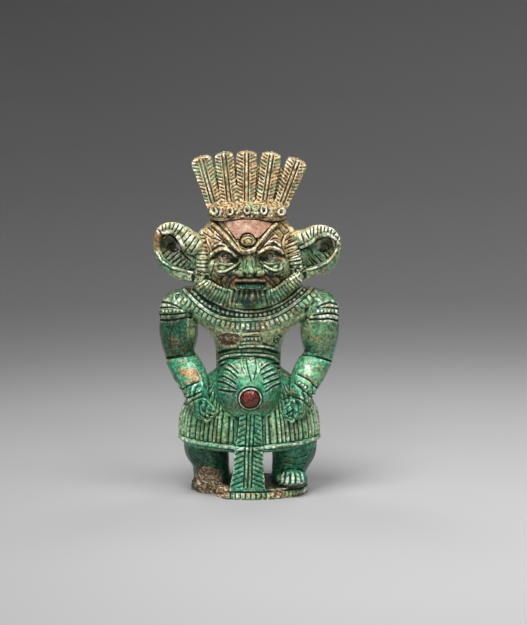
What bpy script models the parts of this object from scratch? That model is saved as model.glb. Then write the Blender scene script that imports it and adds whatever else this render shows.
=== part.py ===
"""A plumed Bes figure in glazed faience, 92 mm tall, with a forehead inlay and a navel inlay.

The tables below are in millimetres and are turned into metres where a shape is made.
X runs to the viewer's right, the figure faces -Y, and Z is up from the underside of its plinth.
The figure is one moulded solid: its forms are fused, then carved by moving the skin in and out.
"""

import math

import bmesh
import bpy
import numpy as np
from mathutils import Matrix, Vector

MM = 0.001
UPRIGHT = Matrix.Rotation(math.pi / 2.0, 4, "X")

# Plinth: an oval front and a squarer back, with its front left corner broken away.
PLINTH = (15.2, -11.2, 9.8, 0.8)  # half width, front, back, middle
PLINTH_TOP = 2.7
BROKEN_EDGE = [(-5.8, -10.2), (-8.1, -7.2), (-8.5, -2.6), (-10.4, -0.6), (-13.6, 0.4), (-15.4, 1.6)]

# Lower body: the legs and kilt stand a little to the right of the ears' middle.
LOWER_X = 0.4
LEG_LEFT = [  # x, y, height, radius
    (-11.1, 0.4, 20.0, 6.4),
    (-11.0, -0.6, 15.0, 6.1),
    (-10.8, -0.9, 12.0, 6.1),
    (-10.0, -0.2, 8.6, 5.2),
    (-9.7, 0.6, 5.4, 4.9),
    (-9.7, 0.6, 2.4, 4.9),
]
LEG_RIGHT = [
    (11.9, 0.4, 20.0, 6.4),
    (12.2, -0.6, 15.0, 6.3),
    (12.2, -0.9, 12.0, 6.2),
    (11.5, -0.2, 8.6, 5.2),
    (11.0, 0.6, 5.8, 4.7),
    (11.2, 0.6, 2.4, 4.6),
]
HEELS = [(-7.3, 5.6, 3.0), (8.9, 5.6, 3.0)]
KILT_SECTIONS = [  # height, half width, front, back
    (35.4, 7.2, -7.0, 7.6),
    (33.2, 9.0, -7.8, 8.6),
    (31.0, 12.0, -8.6, 9.4),
    (28.0, 15.2, -9.3, 9.9),
    (24.8, 17.2, -9.8, 10.2),
    (21.5, 18.5, -10.3, 10.3),
    (18.0, 19.0, -10.8, 10.2),
    (15.0, 18.9, -11.2, 10.0),
    (13.5, 18.5, -11.2, 9.8),
    (12.6, 17.6, -10.6, 9.2),
]
KILT_REACH = 19.0
KILT_HEM = 13.5
KILT_HEM_RISE = 1.0
KILT_PLEATS = 88
TAIL_SECTIONS = [  # height, middle, half width, front, back
    (2.0, -0.1, 4.8, -10.9, -5.6),
    (4.0, 0.0, 4.6, -11.2, -6.4),
    (8.0, 0.2, 4.0, -11.9, -7.4),
    (12.5, 0.25, 3.8, -12.4, -7.4),
    (18.0, 0.6, 3.2, -12.6, -8.0),
    (23.5, 0.8, 2.8, -12.3, -8.0),
]

TRUNK_SECTIONS = [
    (28.0, 8.6, -8.0, 8.4),
    (35.0, 8.6, -8.8, 8.2),
    (39.0, 8.7, -8.7, 8.1),
    (41.5, 9.4, -9.6, 8.3),
    (43.5, 10.7, -10.2, 8.6),
    (45.5, 12.9, -10.5, 8.9),
    (48.0, 16.2, -10.2, 9.2),
    (51.5, 17.4, -9.0, 9.0),
    (54.6, 15.8, -7.4, 8.4),
    (58.5, 11.0, -5.0, 7.0),
]
BELLY = ((0.3, -5.2, 29.5), (8.7, 9.9, 9.4))
NAVEL = (0.7, -14.9, 28.0)
NAVEL_TILT = math.radians(12)

# The arms are mirrored about a line between them.
ARMS_X = 0.4
UPPER_ARM = [
    (-15.6, 0.2, 50.9, 4.6),
    (-17.7, 0.2, 49.4, 5.6),
    (-18.3, 0.2, 46.0, 5.15),
    (-18.3, 0.3, 42.4, 5.1),
    (-18.3, 0.5, 39.4, 4.5),
    (-18.2, 0.6, 37.2, 3.9),
]
FOREARM = [
    (-17.8, 0.3, 36.0, 4.1),
    (-16.4, -1.4, 34.2, 4.35),
    (-14.8, -4.0, 31.4, 4.3),
    (-13.7, -6.3, 28.6, 3.6),
    (-13.2, -7.4, 26.6, 3.1),
]
HAND = [(-12.9, -7.6, 25.6, 2.8), (-11.9, -8.3, 23.9, 2.8)]
FINGERS = [  # knuckle and tip of each, from the thumb down
    ((-11.4, -9.6, 26.3, 1.0), (-9.2, -10.2, 24.2, 0.85)),
    ((-11.8, -10.0, 24.9, 1.0), (-9.0, -10.6, 23.1, 0.85)),
    ((-12.2, -10.1, 24.1, 1.0), (-9.7, -10.8, 22.2, 0.85)),
    ((-12.7, -9.8, 23.3, 1.0), (-10.8, -10.5, 21.6, 0.85)),
]

# Head, seen as a mask with a steep brow, and everything that rings it.
HEAD_X = 0.1
HEAD_POWER = 2.25
HEAD_SECTIONS = [
    (49.0, 8.5, -6.4, 9.4),
    (52.5, 10.6, -8.2, 10.0),
    (56.0, 12.2, -9.4, 10.4),
    (60.0, 13.0, -9.8, 10.6),
    (64.0, 13.2, -10.0, 10.6),
    (67.5, 13.3, -10.4, 10.2),
    (70.3, 12.6, -10.0, 9.4),
    (72.2, 10.9, -9.4, 8.4),
    (73.6, 10.1, -9.0, 7.4),
    (75.6, 9.6, -8.4, 6.6),
]
BAND_SECTIONS = [
    (74.2, 10.0, -8.6, 6.2),
    (75.0, 10.4, -9.1, 6.2),
    (76.6, 10.4, -9.1, 5.8),
    (77.6, 10.1, -8.1, 5.0),
    (78.6, 9.6, -5.6, 4.2),
    (79.2, 9.2, -4.2, 3.8),
]
BEARD = [
    (-12.6, -3.6, 59.6, 1.7),
    (-12.2, -5.2, 57.6, 1.8),
    (-10.4, -7.0, 56.2, 2.0),
    (-7.2, -9.2, 54.8, 2.2),
    (-3.4, -10.4, 54.0, 2.4),
    (0.6, -10.7, 53.8, 2.5),
    (4.4, -10.4, 54.1, 2.4),
    (8.0, -9.2, 55.2, 2.2),
    (11.2, -7.0, 57.2, 2.0),
    (13.0, -5.2, 58.8, 1.8),
    (13.4, -3.6, 60.8, 1.7),
]
LOCK_LEFT = [
    (-11.5, -3.0, 70.2, 1.5),
    (-11.7, -4.4, 67.6, 1.75),
    (-11.8, -5.2, 64.4, 1.8),
    (-11.9, -5.2, 61.0, 1.8),
    (-12.1, -4.6, 58.2, 1.7),
]
LOCK_RIGHT = [
    (11.0, -3.0, 70.6, 1.5),
    (11.4, -4.4, 68.0, 1.9),
    (12.1, -5.0, 65.0, 2.0),
    (12.7, -5.0, 62.4, 1.8),
    (13.3, -4.4, 60.0, 1.6),
]
EAR_LEFT = [
    (-12.3, -4.2, 67.0, 2.6),
    (-14.1, -4.6, 67.9, 2.7),
    (-15.5, -4.9, 69.1, 2.5),
    (-17.5, -5.0, 71.2, 1.8),
    (-19.4, -4.8, 72.1, 1.45),
    (-21.0, -4.6, 72.1, 1.25),
    (-22.6, -4.4, 71.4, 1.15),
    (-23.5, -4.2, 69.6, 1.1),
    (-23.8, -3.9, 67.2, 1.05),
    (-23.4, -3.7, 64.6, 1.1),
    (-22.4, -3.6, 62.7, 1.25),
    (-20.9, -3.5, 61.1, 1.4),
    (-19.1, -3.4, 60.0, 1.5),
    (-17.0, -3.4, 59.2, 1.55),
    (-14.4, -3.2, 58.8, 1.7),
]
EAR_RIGHT = [
    (12.0, -4.2, 68.6, 2.3),
    (13.8, -4.6, 69.2, 2.25),
    (15.7, -4.9, 69.9, 1.95),
    (17.2, -5.0, 70.9, 1.7),
    (18.9, -4.8, 71.3, 1.5),
    (20.7, -4.6, 71.2, 1.3),
    (22.1, -4.4, 70.5, 1.2),
    (23.2, -4.2, 69.2, 1.1),
    (23.7, -3.9, 67.2, 1.05),
    (23.5, -3.7, 65.1, 1.1),
    (22.7, -3.6, 63.4, 1.2),
    (20.4, -3.5, 61.6, 1.35),
    (18.3, -3.4, 60.6, 1.4),
    (16.2, -3.4, 59.8, 1.5),
    (14.4, -3.2, 59.2, 1.6),
]
EAR_HOLES = [(-19.6, 66.3), (19.9, 66.2)]
EAR_HOLE_RADIUS = 1.2
EAR_HOLE_SLANT = math.radians(38)

# Headdress: five plumes in a fan, given by the middle of each foot and tip.
PLUMES = [  # foot x, foot half width, tip x, tip z, tip half width
    (-8.5, 1.75, -12.4, 90.2, 2.8),
    (-4.5, 2.05, -6.3, 91.3, 2.5),
    (-0.3, 2.05, -0.2, 91.6, 2.8),
    (4.1, 2.05, 6.4, 91.3, 2.7),
    (8.3, 1.75, 13.3, 89.5, 2.8),
]
PLUME_FOOT_Z = 76.5
ROSETTES = [(-8.7, 76.7), (-4.6, 76.8), (-0.1, 77.1), (4.3, 77.0), (8.8, 76.5)]
ROSETTE_RADIUS = 1.3

# The photograph's view, in which the carved lines are drawn.
VIEW_PITCH = math.radians(10)
VIEW_DISTANCE = 900.0
VIEW_MIDDLE = (4.2, 48.5)
VIEW_LIFT = 47.75

# Carved lines as (points, half width, height). Points are (across, up) as seen from that view,
# and a height below 0 is a groove.
BROW_V = [
    *[(-8.9, 71.1), (-6.8, 69.0), (-5.0, 67.1), (-3.4, 65.3), (-1.8, 64.0), (-0.2, 63.7)],
    *[(1.2, 64.1), (2.2, 65.4), (3.8, 67.0), (5.4, 69.0), (7.3, 71.1)],
]
FACE_LINES = [
    (BROW_V, 0.85, 0.9),
    ([(-9.6, 62.8), (-8.4, 64.0), (-6.4, 64.7), (-4.4, 64.0), (-3.1, 62.8)], 0.8, 0.8),
    ([(3.0, 63.8), (5.4, 64.8), (7.8, 64.6), (9.1, 63.6)], 0.8, 0.8),
    ([(-8.7, 61.6), (-6.0, 61.4), (-3.0, 61.4)], 1.0, -0.7),
    ([(3.6, 62.0), (5.9, 61.6), (8.9, 61.6)], 1.0, -0.7),
    ([(-8.4, 60.4), (-7.3, 60.8), (-5.8, 60.5), (-4.2, 60.8)], 0.5, 0.5),
    ([(4.3, 61.3), (5.7, 60.6), (7.3, 60.9), (8.6, 61.4)], 0.5, 0.5),
    ([(-8.4, 60.1), (-8.1, 58.9), (-6.5, 58.6), (-5.0, 59.2), (-3.4, 60.2)], 0.5, 0.5),
    ([(4.6, 60.2), (5.9, 59.4), (7.5, 59.0), (8.7, 59.4), (8.9, 60.9)], 0.5, 0.5),
    ([(-1.6, 58.2), (-3.4, 58.3), (-5.0, 57.5), (-6.0, 56.2)], 1.1, 1.0),
    ([(2.8, 58.3), (4.6, 58.4), (6.2, 57.5), (7.6, 56.0)], 1.1, 1.0),
    ([(-3.1, 56.2), (0.6, 56.4), (4.4, 56.2)], 0.6, 0.5),
    ([(-3.1, 55.3), (0.6, 55.3), (4.6, 55.3)], 0.5, -1.0),
    ([(-2.9, 54.2), (0.6, 53.9), (4.4, 54.2)], 0.6, 0.5),
    ([(-10.5, 56.7), (-9.2, 55.6), (-7.9, 54.5), (-6.0, 53.7), (-4.0, 53.3)], 0.5, 0.4),
    ([(12.8, 58.2), (11.2, 56.9), (9.7, 55.7), (8.1, 54.5), (5.8, 53.5)], 0.5, 0.4),
]
EYES = [(-6.0, 62.6), (5.9, 62.7)]
BOSS = (0.1, 66.6)
BOSS_RADII = (2.0, 1.4)
BOSS_SHADOW = [(-2.3, 67.6), (-1.2, 68.5), (0.1, 68.8), (1.2, 68.6), (2.0, 67.9), (2.6, 67.0)]
BEARD_LINE = [
    *[(-12.9, 56.9), (-11.1, 54.5), (-9.2, 53.2), (-7.3, 52.1), (-5.2, 51.3), (-2.6, 51.1), (0.6, 51.2)],
    *[(3.8, 51.2), (6.2, 51.9), (8.3, 52.9), (10.5, 54.5), (12.3, 56.1), (13.6, 57.4)],
]
COLLAR_INNER = [
    *[(-14.5, 55.1), (-12.1, 52.7), (-8.9, 50.7), (-5.8, 49.2), (-2.0, 48.2), (0.6, 48.0)],
    *[(4.1, 48.3), (7.8, 49.6), (11.2, 51.6), (14.7, 54.5)],
]
COLLAR_MIDDLE = [
    *[(-16.9, 53.7), (-14.5, 51.3), (-11.6, 48.8), (-8.1, 46.8), (-4.2, 45.9), (0.6, 45.9)],
    *[(5.1, 46.3), (8.3, 47.5), (11.8, 49.7), (15.8, 52.9), (17.4, 54.5)],
]
COLLAR_OUTER = [
    *[(-17.6, 49.2), (-14.0, 46.4), (-10.3, 44.4), (-5.6, 43.0), (0.6, 42.8)],
    *[(6.6, 43.2), (11.2, 45.4), (15.0, 48.0), (18.0, 50.8)],
]
COLLAR_LINES = [(COLLAR_INNER, 0.6, 0.5), (COLLAR_MIDDLE, 0.6, 0.45), (COLLAR_OUTER, 0.8, -0.25)]
TRUNK_LINES = [
    ([(-1.2, 41.8), (0.6, 42.0), (2.7, 42.2)], 0.45, 0.35),
    ([(-2.0, 38.5), (-0.4, 38.9), (1.7, 39.0), (3.8, 38.9), (6.7, 38.2)], 0.55, 0.5),
    ([(-7.9, 37.0), (-4.2, 37.7), (0.6, 37.9), (4.9, 37.7), (8.1, 37.0)], 0.8, -0.6),
    ([(-7.6, 35.0), (-5.8, 36.0), (-3.1, 36.5), (0.6, 36.6), (6.0, 36.1), (8.6, 34.3)], 0.6, 0.4),
]
RIBS = [
    [(-7.5, 33.5), (-5.8, 34.0), (-4.4, 33.4), (-2.6, 31.7)],
    [(-7.9, 31.8), (-6.5, 32.5), (-5.0, 32.3), (-2.8, 30.4)],
    [(-7.9, 30.5), (-6.3, 30.7), (-4.7, 29.8), (-3.2, 28.8)],
    [(-8.1, 29.4), (-6.3, 29.0), (-4.7, 28.2), (-3.1, 27.2)],
    [(-7.6, 27.2), (-5.8, 26.8), (-3.5, 26.6)],
    [(8.3, 34.2), (6.5, 34.1), (4.9, 33.5), (3.5, 32.4)],
    [(8.5, 33.0), (6.2, 32.4), (3.8, 31.2)],
    [(8.5, 31.8), (6.2, 30.9), (4.3, 30.0)],
    [(8.5, 30.2), (6.5, 29.5), (4.3, 28.5)],
    [(8.6, 28.8), (6.7, 28.0), (4.9, 26.7)],
]
ARM_LINES = [
    ([(-23.6, 50.7), (-21.4, 50.4), (-19.8, 49.9), (-17.6, 48.8)], 0.5, -0.4),
    ([(-23.6, 49.0), (-20.6, 49.1), (-18.0, 48.7)], 0.4, -0.3),
    ([(-23.6, 47.2), (-20.0, 47.2), (-16.4, 47.6)], 0.4, -0.35),
    ([(-23.6, 45.8), (-20.6, 45.6), (-18.5, 45.9), (-15.2, 46.4)], 0.45, -0.45),
    ([(18.6, 49.2), (20.3, 50.0), (21.9, 50.4), (24.0, 49.9)], 0.5, -0.4),
    ([(18.6, 48.9), (21.0, 49.1), (24.2, 48.8)], 0.4, -0.3),
    ([(17.4, 46.9), (21.9, 47.5), (24.4, 46.9)], 0.4, -0.35),
    ([(16.4, 45.8), (19.7, 45.9), (21.9, 46.0), (24.6, 45.4)], 0.45, -0.45),
    ([(-22.6, 35.6), (-20.1, 35.8), (-18.0, 36.2), (-15.8, 36.5), (-13.4, 37.0)], 0.55, -0.6),
    ([(14.2, 36.6), (16.8, 36.5), (19.2, 35.9), (23.2, 34.5)], 0.55, -0.6),
    ([(-18.8, 26.3), (-16.4, 28.0), (-13.0, 29.4)], 0.4, -0.35),
    ([(-17.8, 24.6), (-15.0, 25.4), (-12.2, 26.8)], 0.4, -0.35),
    ([(-16.6, 23.2), (-14.5, 24.4), (-11.8, 25.5)], 0.45, -0.45),
    ([(13.2, 31.4), (16.0, 30.0), (17.6, 28.6), (19.8, 26.3)], 0.4, -0.35),
    ([(12.4, 29.0), (14.7, 27.2), (16.0, 26.1), (18.0, 24.3)], 0.4, -0.35),
    ([(11.4, 25.5), (14.2, 24.6), (16.4, 22.9)], 0.45, -0.45),
]

# Forehead inlay, seen from straight ahead as (x, z).
INLAY_TOP = [(-6.3, 73.9), (-3.4, 74.5), (-0.2, 74.7), (3.0, 74.5), (6.6, 73.6)]
INLAY_FEET = ((3.0, 70.1), (-3.0, 69.8))
INLAY_NOTCH = ((0.0, 69.3), 2.15)
INLAY_THICKNESS = 1.5
INLAY_GAP = 0.3

NAVEL_INLAY_RADIUS = 2.35
NAVEL_INLAY_PROFILE = [(0.0, 0.9), (1.2, 0.76), (2.0, 0.42), (2.35, 0.0), (2.35, -1.5), (0.0, -1.5)]
NAVEL_SOCKET_DEPTH = 1.9

FIGURE_TRIANGLES = 8900
FUSE_VOXEL = 0.26


def clear_scene():
    for item in list(bpy.data.objects):
        bpy.data.objects.remove(item)


def collection(name, shown=True):
    made = bpy.data.collections.new(name)
    made.hide_render = not shown
    bpy.context.scene.collection.children.link(made)
    return made


def material(name, colour, roughness, metallic=0.0):
    made = bpy.data.materials.new(name)
    made.use_nodes = True
    shader = made.node_tree.nodes["Principled BSDF"]
    shader.inputs["Base Color"].default_value = (*colour, 1.0)
    shader.inputs["Roughness"].default_value = roughness
    shader.inputs["Metallic"].default_value = metallic
    return made


# Shape makers. Each returns a mesh in metres.


def mesh_of(name, shape):
    bmesh.ops.recalc_face_normals(shape, faces=shape.faces)
    made = bpy.data.meshes.new(name)
    shape.to_mesh(made)
    shape.free()
    return made


def ball(centre, radii, turn=(0.0, 0.0, 0.0), segments=32):
    """An ellipsoid. turn is in degrees about X, Y and Z."""
    shape = bmesh.new()
    bmesh.ops.create_uvsphere(shape, u_segments=segments, v_segments=segments * 2 // 3, radius=1.0)
    turned = Matrix.Identity(4)
    for angle, axis in zip(turn, "XYZ"):
        turned = Matrix.Rotation(math.radians(angle), 4, axis) @ turned
    size = Matrix.Diagonal((*(Vector(radii) * MM), 1.0))
    place = Matrix.Translation(Vector(centre) * MM) @ turned @ size
    bmesh.ops.transform(shape, matrix=place, verts=shape.verts)
    return mesh_of("ball", shape)


def limb(stations):
    """A smooth tube through stations of (x, y, z, radius), with round ends."""
    curve = bpy.data.curves.new("limb", "CURVE")
    curve.dimensions = "3D"
    curve.bevel_depth = MM
    curve.bevel_resolution = 4
    curve.use_fill_caps = True
    spline = curve.splines.new("BEZIER")
    spline.bezier_points.add(len(stations) - 1)
    spline.resolution_u = 8
    spline.radius_interpolation = "CARDINAL"
    for point, (x, y, z, radius) in zip(spline.bezier_points, stations):
        point.co = (x * MM, y * MM, z * MM)
        point.handle_left_type = point.handle_right_type = "AUTO"
        point.radius = radius
    holder = bpy.data.objects.new("limb", curve)
    bpy.context.scene.collection.objects.link(holder)
    tube = evaluated_mesh(holder)
    bpy.data.objects.remove(holder)
    ends = [ball(s[:3], (s[3],) * 3, segments=16) for s in (stations[0], stations[-1])]
    return [tube, *ends]


def loft(sections, centre_x=0.0, power=2.0, sides=72):
    """A skin over level sections of (height, half width, front, back). A power over 2 squares them."""
    shape = bmesh.new()
    rings = []
    for height, half_width, front, back in sections:
        ring = []
        for i in range(sides):
            angle = 2.0 * math.pi * i / sides
            across, deep = math.cos(angle), math.sin(angle)
            across = math.copysign(abs(across) ** (2.0 / power), across)
            deep = math.copysign(abs(deep) ** (2.0 / power), deep)
            y = deep * (back if deep > 0 else -front)
            ring.append(shape.verts.new(((centre_x + across * half_width) * MM, y * MM, height * MM)))
        rings.append(ring)
    for lower, upper in zip(rings, rings[1:]):
        for i in range(sides):
            j = (i + 1) % sides
            shape.faces.new((lower[i], lower[j], upper[j], upper[i]))
    shape.faces.new(rings[0])
    shape.faces.new(rings[-1])
    return mesh_of("loft", shape)


def plate(outline, low, high, axis="Z"):
    """A flat outline given thickness from low to high along Z, or along Y for an outline in x and z."""
    curve = bpy.data.curves.new("plate", "CURVE")
    curve.dimensions = "2D"
    curve.fill_mode = "BOTH"
    curve.extrude = (high - low) / 2.0 * MM
    spline = curve.splines.new("POLY")
    spline.points.add(len(outline) - 1)
    spline.use_cyclic_u = True
    for point, (u, v) in zip(spline.points, outline):
        point.co = (u * MM, v * MM, 0.0, 1.0)
    holder = bpy.data.objects.new("plate", curve)
    bpy.context.scene.collection.objects.link(holder)
    slab = evaluated_mesh(holder)
    bpy.data.objects.remove(holder)
    middle = (high + low) / 2.0 * MM
    if axis == "Y":
        slab.transform(Matrix.Translation((0.0, middle, 0.0)) @ UPRIGHT)
    else:
        slab.transform(Matrix.Translation((0.0, 0.0, middle)))
    shape = bmesh.new()
    shape.from_mesh(slab)
    bmesh.ops.remove_doubles(shape, verts=shape.verts, dist=0.00001)
    return mesh_of("plate", shape)


def mirrored(stations, shift=0.0):
    """The same stations on the other side, about x = shift."""
    return [(2.0 * shift - s[0], *s[1:]) for s in stations]


def object_from(mesh, name, group):
    made = bpy.data.objects.new(name, mesh)
    group.objects.link(made)
    return made


def boolean(target, cutter, operation):
    modifier = target.modifiers.new(operation.lower(), "BOOLEAN")
    modifier.object = cutter
    modifier.operation = operation
    modifier.solver = "EXACT"
    return modifier


def evaluated_mesh(holder):
    return bpy.data.meshes.new_from_object(holder.evaluated_get(bpy.context.evaluated_depsgraph_get()))


def cut(mesh, cutter_mesh, operation, group):
    """The mesh after one Boolean with the cutter."""
    target = object_from(mesh, "target", group)
    cutter = object_from(cutter_mesh, "cutter", group)
    boolean(target, cutter, operation)
    made = evaluated_mesh(target)
    bpy.data.objects.remove(target)
    bpy.data.objects.remove(cutter)
    return made


# The figure's forms.


def plinth():
    """An oval slab, an ellipse in front and squarer behind, cut off along the broken edge."""
    half_width, front, back, middle = PLINTH
    kept = []
    for i in range(48):
        angle = 2.0 * math.pi * i / 48
        across, deep = math.cos(angle), math.sin(angle)
        if deep > 0:
            across = math.copysign(abs(across) ** 0.65, across)
            deep = deep**0.65
        kept.append((middle + across * half_width, deep * (back if deep > 0 else -front)))
    first, last = BROKEN_EDGE[-1], BROKEN_EDGE[0]
    kept = [p for p in kept if not (p[1] < first[1] and p[0] < last[0])]
    at = max(i for i, p in enumerate(kept) if p[1] >= first[1]) + 1
    kept[at:at] = BROKEN_EDGE[::-1]
    return [plate(kept, -1.0, PLINTH_TOP)]


def legs():
    """Bowed legs. The right one ends in a paw, and the left one in a broken stump."""
    paw = ball((11.8, -4.6, 4.3), (4.2, 4.9, 2.7))
    stump = ball((-10.4, 0.2, 3.4), (3.6, 4.0, 3.9))
    heels = [ball(place, (2.8, 3.8, 2.4)) for place in HEELS]
    return [*limb(LEG_LEFT), *limb(LEG_RIGHT), paw, stump, *heels]


def kilt():
    skirt = loft(KILT_SECTIONS, LOWER_X)
    for vertex in skirt.vertices:
        reach = min(1.0, abs(vertex.co.x / MM - LOWER_X) / KILT_REACH)
        low = min(1.0, max(0.0, (25.0 - vertex.co.z / MM) / 11.0))
        vertex.co.z += KILT_HEM_RISE * reach * reach * low * MM
    return [skirt]


def tail():
    """The flat strip that hangs from under the belly to the plinth."""
    strip = bmesh.new()
    rings = []
    for height, middle, half_width, front, back in TAIL_SECTIONS:
        ring = []
        for side, y in ((-1, front), (1, front), (1, back), (-1, back)):
            ring.append(strip.verts.new(((middle + side * half_width) * MM, y * MM, height * MM)))
        rings.append(ring)
    for lower, upper in zip(rings, rings[1:]):
        for j in range(4):
            k = (j + 1) % 4
            strip.faces.new((lower[j], lower[k], upper[k], upper[j]))
    strip.faces.new(rings[0])
    strip.faces.new(rings[-1])
    return [mesh_of("tail", strip)]


def trunk():
    return [loft(TRUNK_SECTIONS, 0.2), ball(*BELLY)]


def arms():
    made = []
    for chain in (UPPER_ARM, FOREARM, HAND, *FINGERS):
        made += limb(chain)
        made += limb(mirrored(chain, ARMS_X))
    return made


def head():
    return [
        loft(HEAD_SECTIONS, HEAD_X, HEAD_POWER),
        ball((0.5, -8.6, 58.4), (7.4, 4.3, 4.0)),
        ball((0.65, -12.0, 61.6), (1.9, 2.2, 1.6)),
        ball((-1.2, -11.4, 61.3), (1.3, 1.7, 1.2)),
        ball((2.5, -11.4, 61.4), (1.3, 1.7, 1.2)),
        ball((-6.2, -8.0, 62.0), (4.2, 3.6, 3.0)),
        ball((6.8, -8.0, 62.2), (4.2, 3.6, 3.0)),
        *limb([(0.3, -10.2, 66.2, 1.7), (0.6, -11.8, 62.8, 1.6)]),
        *limb(BEARD),
        *limb(LOCK_LEFT),
        *limb(LOCK_RIGHT),
    ]


def ears(group):
    """Each ear is a bowl with a rolled rim, joined to the head, with a hole slanting back and inwards."""
    made = []
    for rim, (hole_x, hole_z) in zip((EAR_LEFT, EAR_RIGHT), EAR_HOLES):
        side = math.copysign(1.0, hole_x)
        outside = ball((side * 18.4, -2.3, 65.5), (5.9, 3.7, 6.6), turn=(0.0, side * -20.0, 0.0))
        inside = ball((side * 18.6, -4.8, 65.3), (5.2, 3.4, 5.6), turn=(0.0, side * -20.0, 0.0))
        wall = cut(outside, inside, "DIFFERENCE", group)
        bore = bmesh.new()
        radius = EAR_HOLE_RADIUS * MM
        bmesh.ops.create_cone(bore, cap_ends=True, segments=16, radius1=radius, radius2=radius, depth=0.02)
        place = Matrix.Translation(Vector((hole_x, -1.6, hole_z)) * MM)
        slant = Matrix.Rotation(side * EAR_HOLE_SLANT, 4, "Z")
        bmesh.ops.transform(bore, matrix=place @ slant @ UPRIGHT, verts=bore.verts)
        made.append(cut(wall, mesh_of("bore", bore), "DIFFERENCE", group))
        made.append(ball((side * 14.0, -1.4, 62.6), (3.6, 2.6, 4.4)))
        made += limb(rim)
    return made


def plume_outline(foot_x, narrow, tip_x, tip_z, wide):
    """A tapering plume with a rounded tip, as (x, z)."""
    foot, tip = Vector((foot_x, PLUME_FOOT_Z)), Vector((tip_x, tip_z))
    along = (tip - foot).normalized()
    across = Vector((along.y, -along.x))
    corner = 1.5
    shoulder = tip - along * corner
    points = [foot - across * narrow, foot + across * narrow]
    for i in range(7):
        angle = math.pi * i / 6.0
        reach = math.copysign(abs(math.cos(angle)) ** 0.5, math.cos(angle))
        points.append(shoulder + across * wide * reach + along * corner * math.sin(angle) ** 0.8)
    return [tuple(p) for p in points]


def headdress():
    """Five plumes joined by a web that is set back, thinner towards the tips, on a band."""
    slabs = [plate(plume_outline(*plume), -4.6, 3.4, "Y") for plume in PLUMES]
    web_tips = [(x * 0.95, z - 3.4) for _, _, x, z, _ in PLUMES]
    slabs.append(plate([(-9.8, PLUME_FOOT_Z), (9.6, PLUME_FOOT_Z), *web_tips[::-1]], -3.4, 2.4, "Y"))
    for slab in slabs:
        for vertex in slab.vertices:
            rise = max(0.0, (vertex.co.z / MM - PLUME_FOOT_Z) / 15.4)
            vertex.co.y = vertex.co.y * (1.0 - 0.52 * rise) + 0.1 * rise * MM
    return [*slabs, loft(BAND_SECTIONS, 0.0, power=4.0)]


def fused(meshes, group):
    """All the forms as one closed skin, with its creases softened."""
    shape = bmesh.new()
    for mesh in meshes:
        shape.from_mesh(mesh)
    whole = bpy.data.meshes.new("forms")
    shape.to_mesh(whole)
    shape.free()
    holder = object_from(whole, "forms", group)
    remesh = holder.modifiers.new("fuse", "REMESH")
    remesh.mode = "VOXEL"
    remesh.voxel_size = FUSE_VOXEL * MM
    smooth = holder.modifiers.new("soften", "SMOOTH")
    smooth.factor = 0.5
    smooth.iterations = 4
    made = evaluated_mesh(holder)
    bpy.data.objects.remove(holder)
    return made


# Carving. Every function below takes points and normals in millimetres and gives a height to add.


def step(low, high, value):
    t = np.clip((value - low) / (high - low), 0.0, 1.0)
    return t * t * (3.0 - 2.0 * t)


def bump(distance, half_width):
    t = np.minimum(np.abs(distance) / half_width, 1.0)
    return (1.0 - t * t) ** 2


def wave(phase):
    """A row of rounded ribs, 0 in the grooves and 1 on the crests, one for each unit of phase."""
    return np.abs(np.sin(np.pi * phase)) ** 0.6


def spline(points, per_span=6):
    """A smooth path through a few points."""
    p = np.array([points[0], *points, points[-1]], float)
    path = []
    for i in range(1, len(p) - 2):
        for t in np.linspace(0.0, 1.0, per_span, endpoint=False):
            a, b, c, d = p[i - 1 : i + 3]
            bend = (2 * a - 5 * b + 4 * c - d) * t**2 + (3 * b - a - 3 * c + d) * t**3
            path.append(0.5 * (2 * b + (c - a) * t + bend))
    path.append(p[-1])
    return np.array(path)


def to_path(at, path, reach):
    """Distance to a path, and how far along it in millimetres, for the points within reach."""
    low, high = path.min(0) - reach, path.max(0) + reach
    near = np.flatnonzero(((at > low) & (at < high)).all(1))
    best = np.full(len(near), 1e9)
    run = np.zeros(len(near))
    spot, passed = at[near], 0.0
    for a, b in zip(path, path[1:]):
        length = float(np.linalg.norm(b - a))
        t = np.clip((spot - a) @ (b - a) / length**2, 0.0, 1.0)
        gap = np.linalg.norm(spot - a - t[:, None] * (b - a), axis=1)
        closer = gap < best
        best[closer] = gap[closer]
        run[closer] = passed + t[closer] * length
        passed += length
    return near, best, run


def line(at, points, half_width, height):
    """A ridge, or with a height below 0 a groove, along a path in the view."""
    added = np.zeros(len(at))
    near, gap, _ = to_path(at, spline(points), half_width)
    added[near] = height * bump(gap, half_width)
    return added


def lines(at, table):
    return sum(line(at, *row) for row in table)


def seen(p):
    """Where points appear, as (across, up) in millimetres, from the photograph's view."""
    rise = p[:, 2] - VIEW_MIDDLE[1]
    near = rise * math.sin(VIEW_PITCH) - p[:, 1] * math.cos(VIEW_PITCH)
    scale = VIEW_DISTANCE / (VIEW_DISTANCE - near)
    across = VIEW_MIDDLE[0] + (p[:, 0] - VIEW_MIDDLE[0]) * scale
    up = VIEW_LIFT + (rise * math.cos(VIEW_PITCH) + p[:, 1] * math.sin(VIEW_PITCH)) * scale
    return np.column_stack((across, up))


def front_of(n):
    return step(0.1, 0.4, -n[:, 1])


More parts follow.
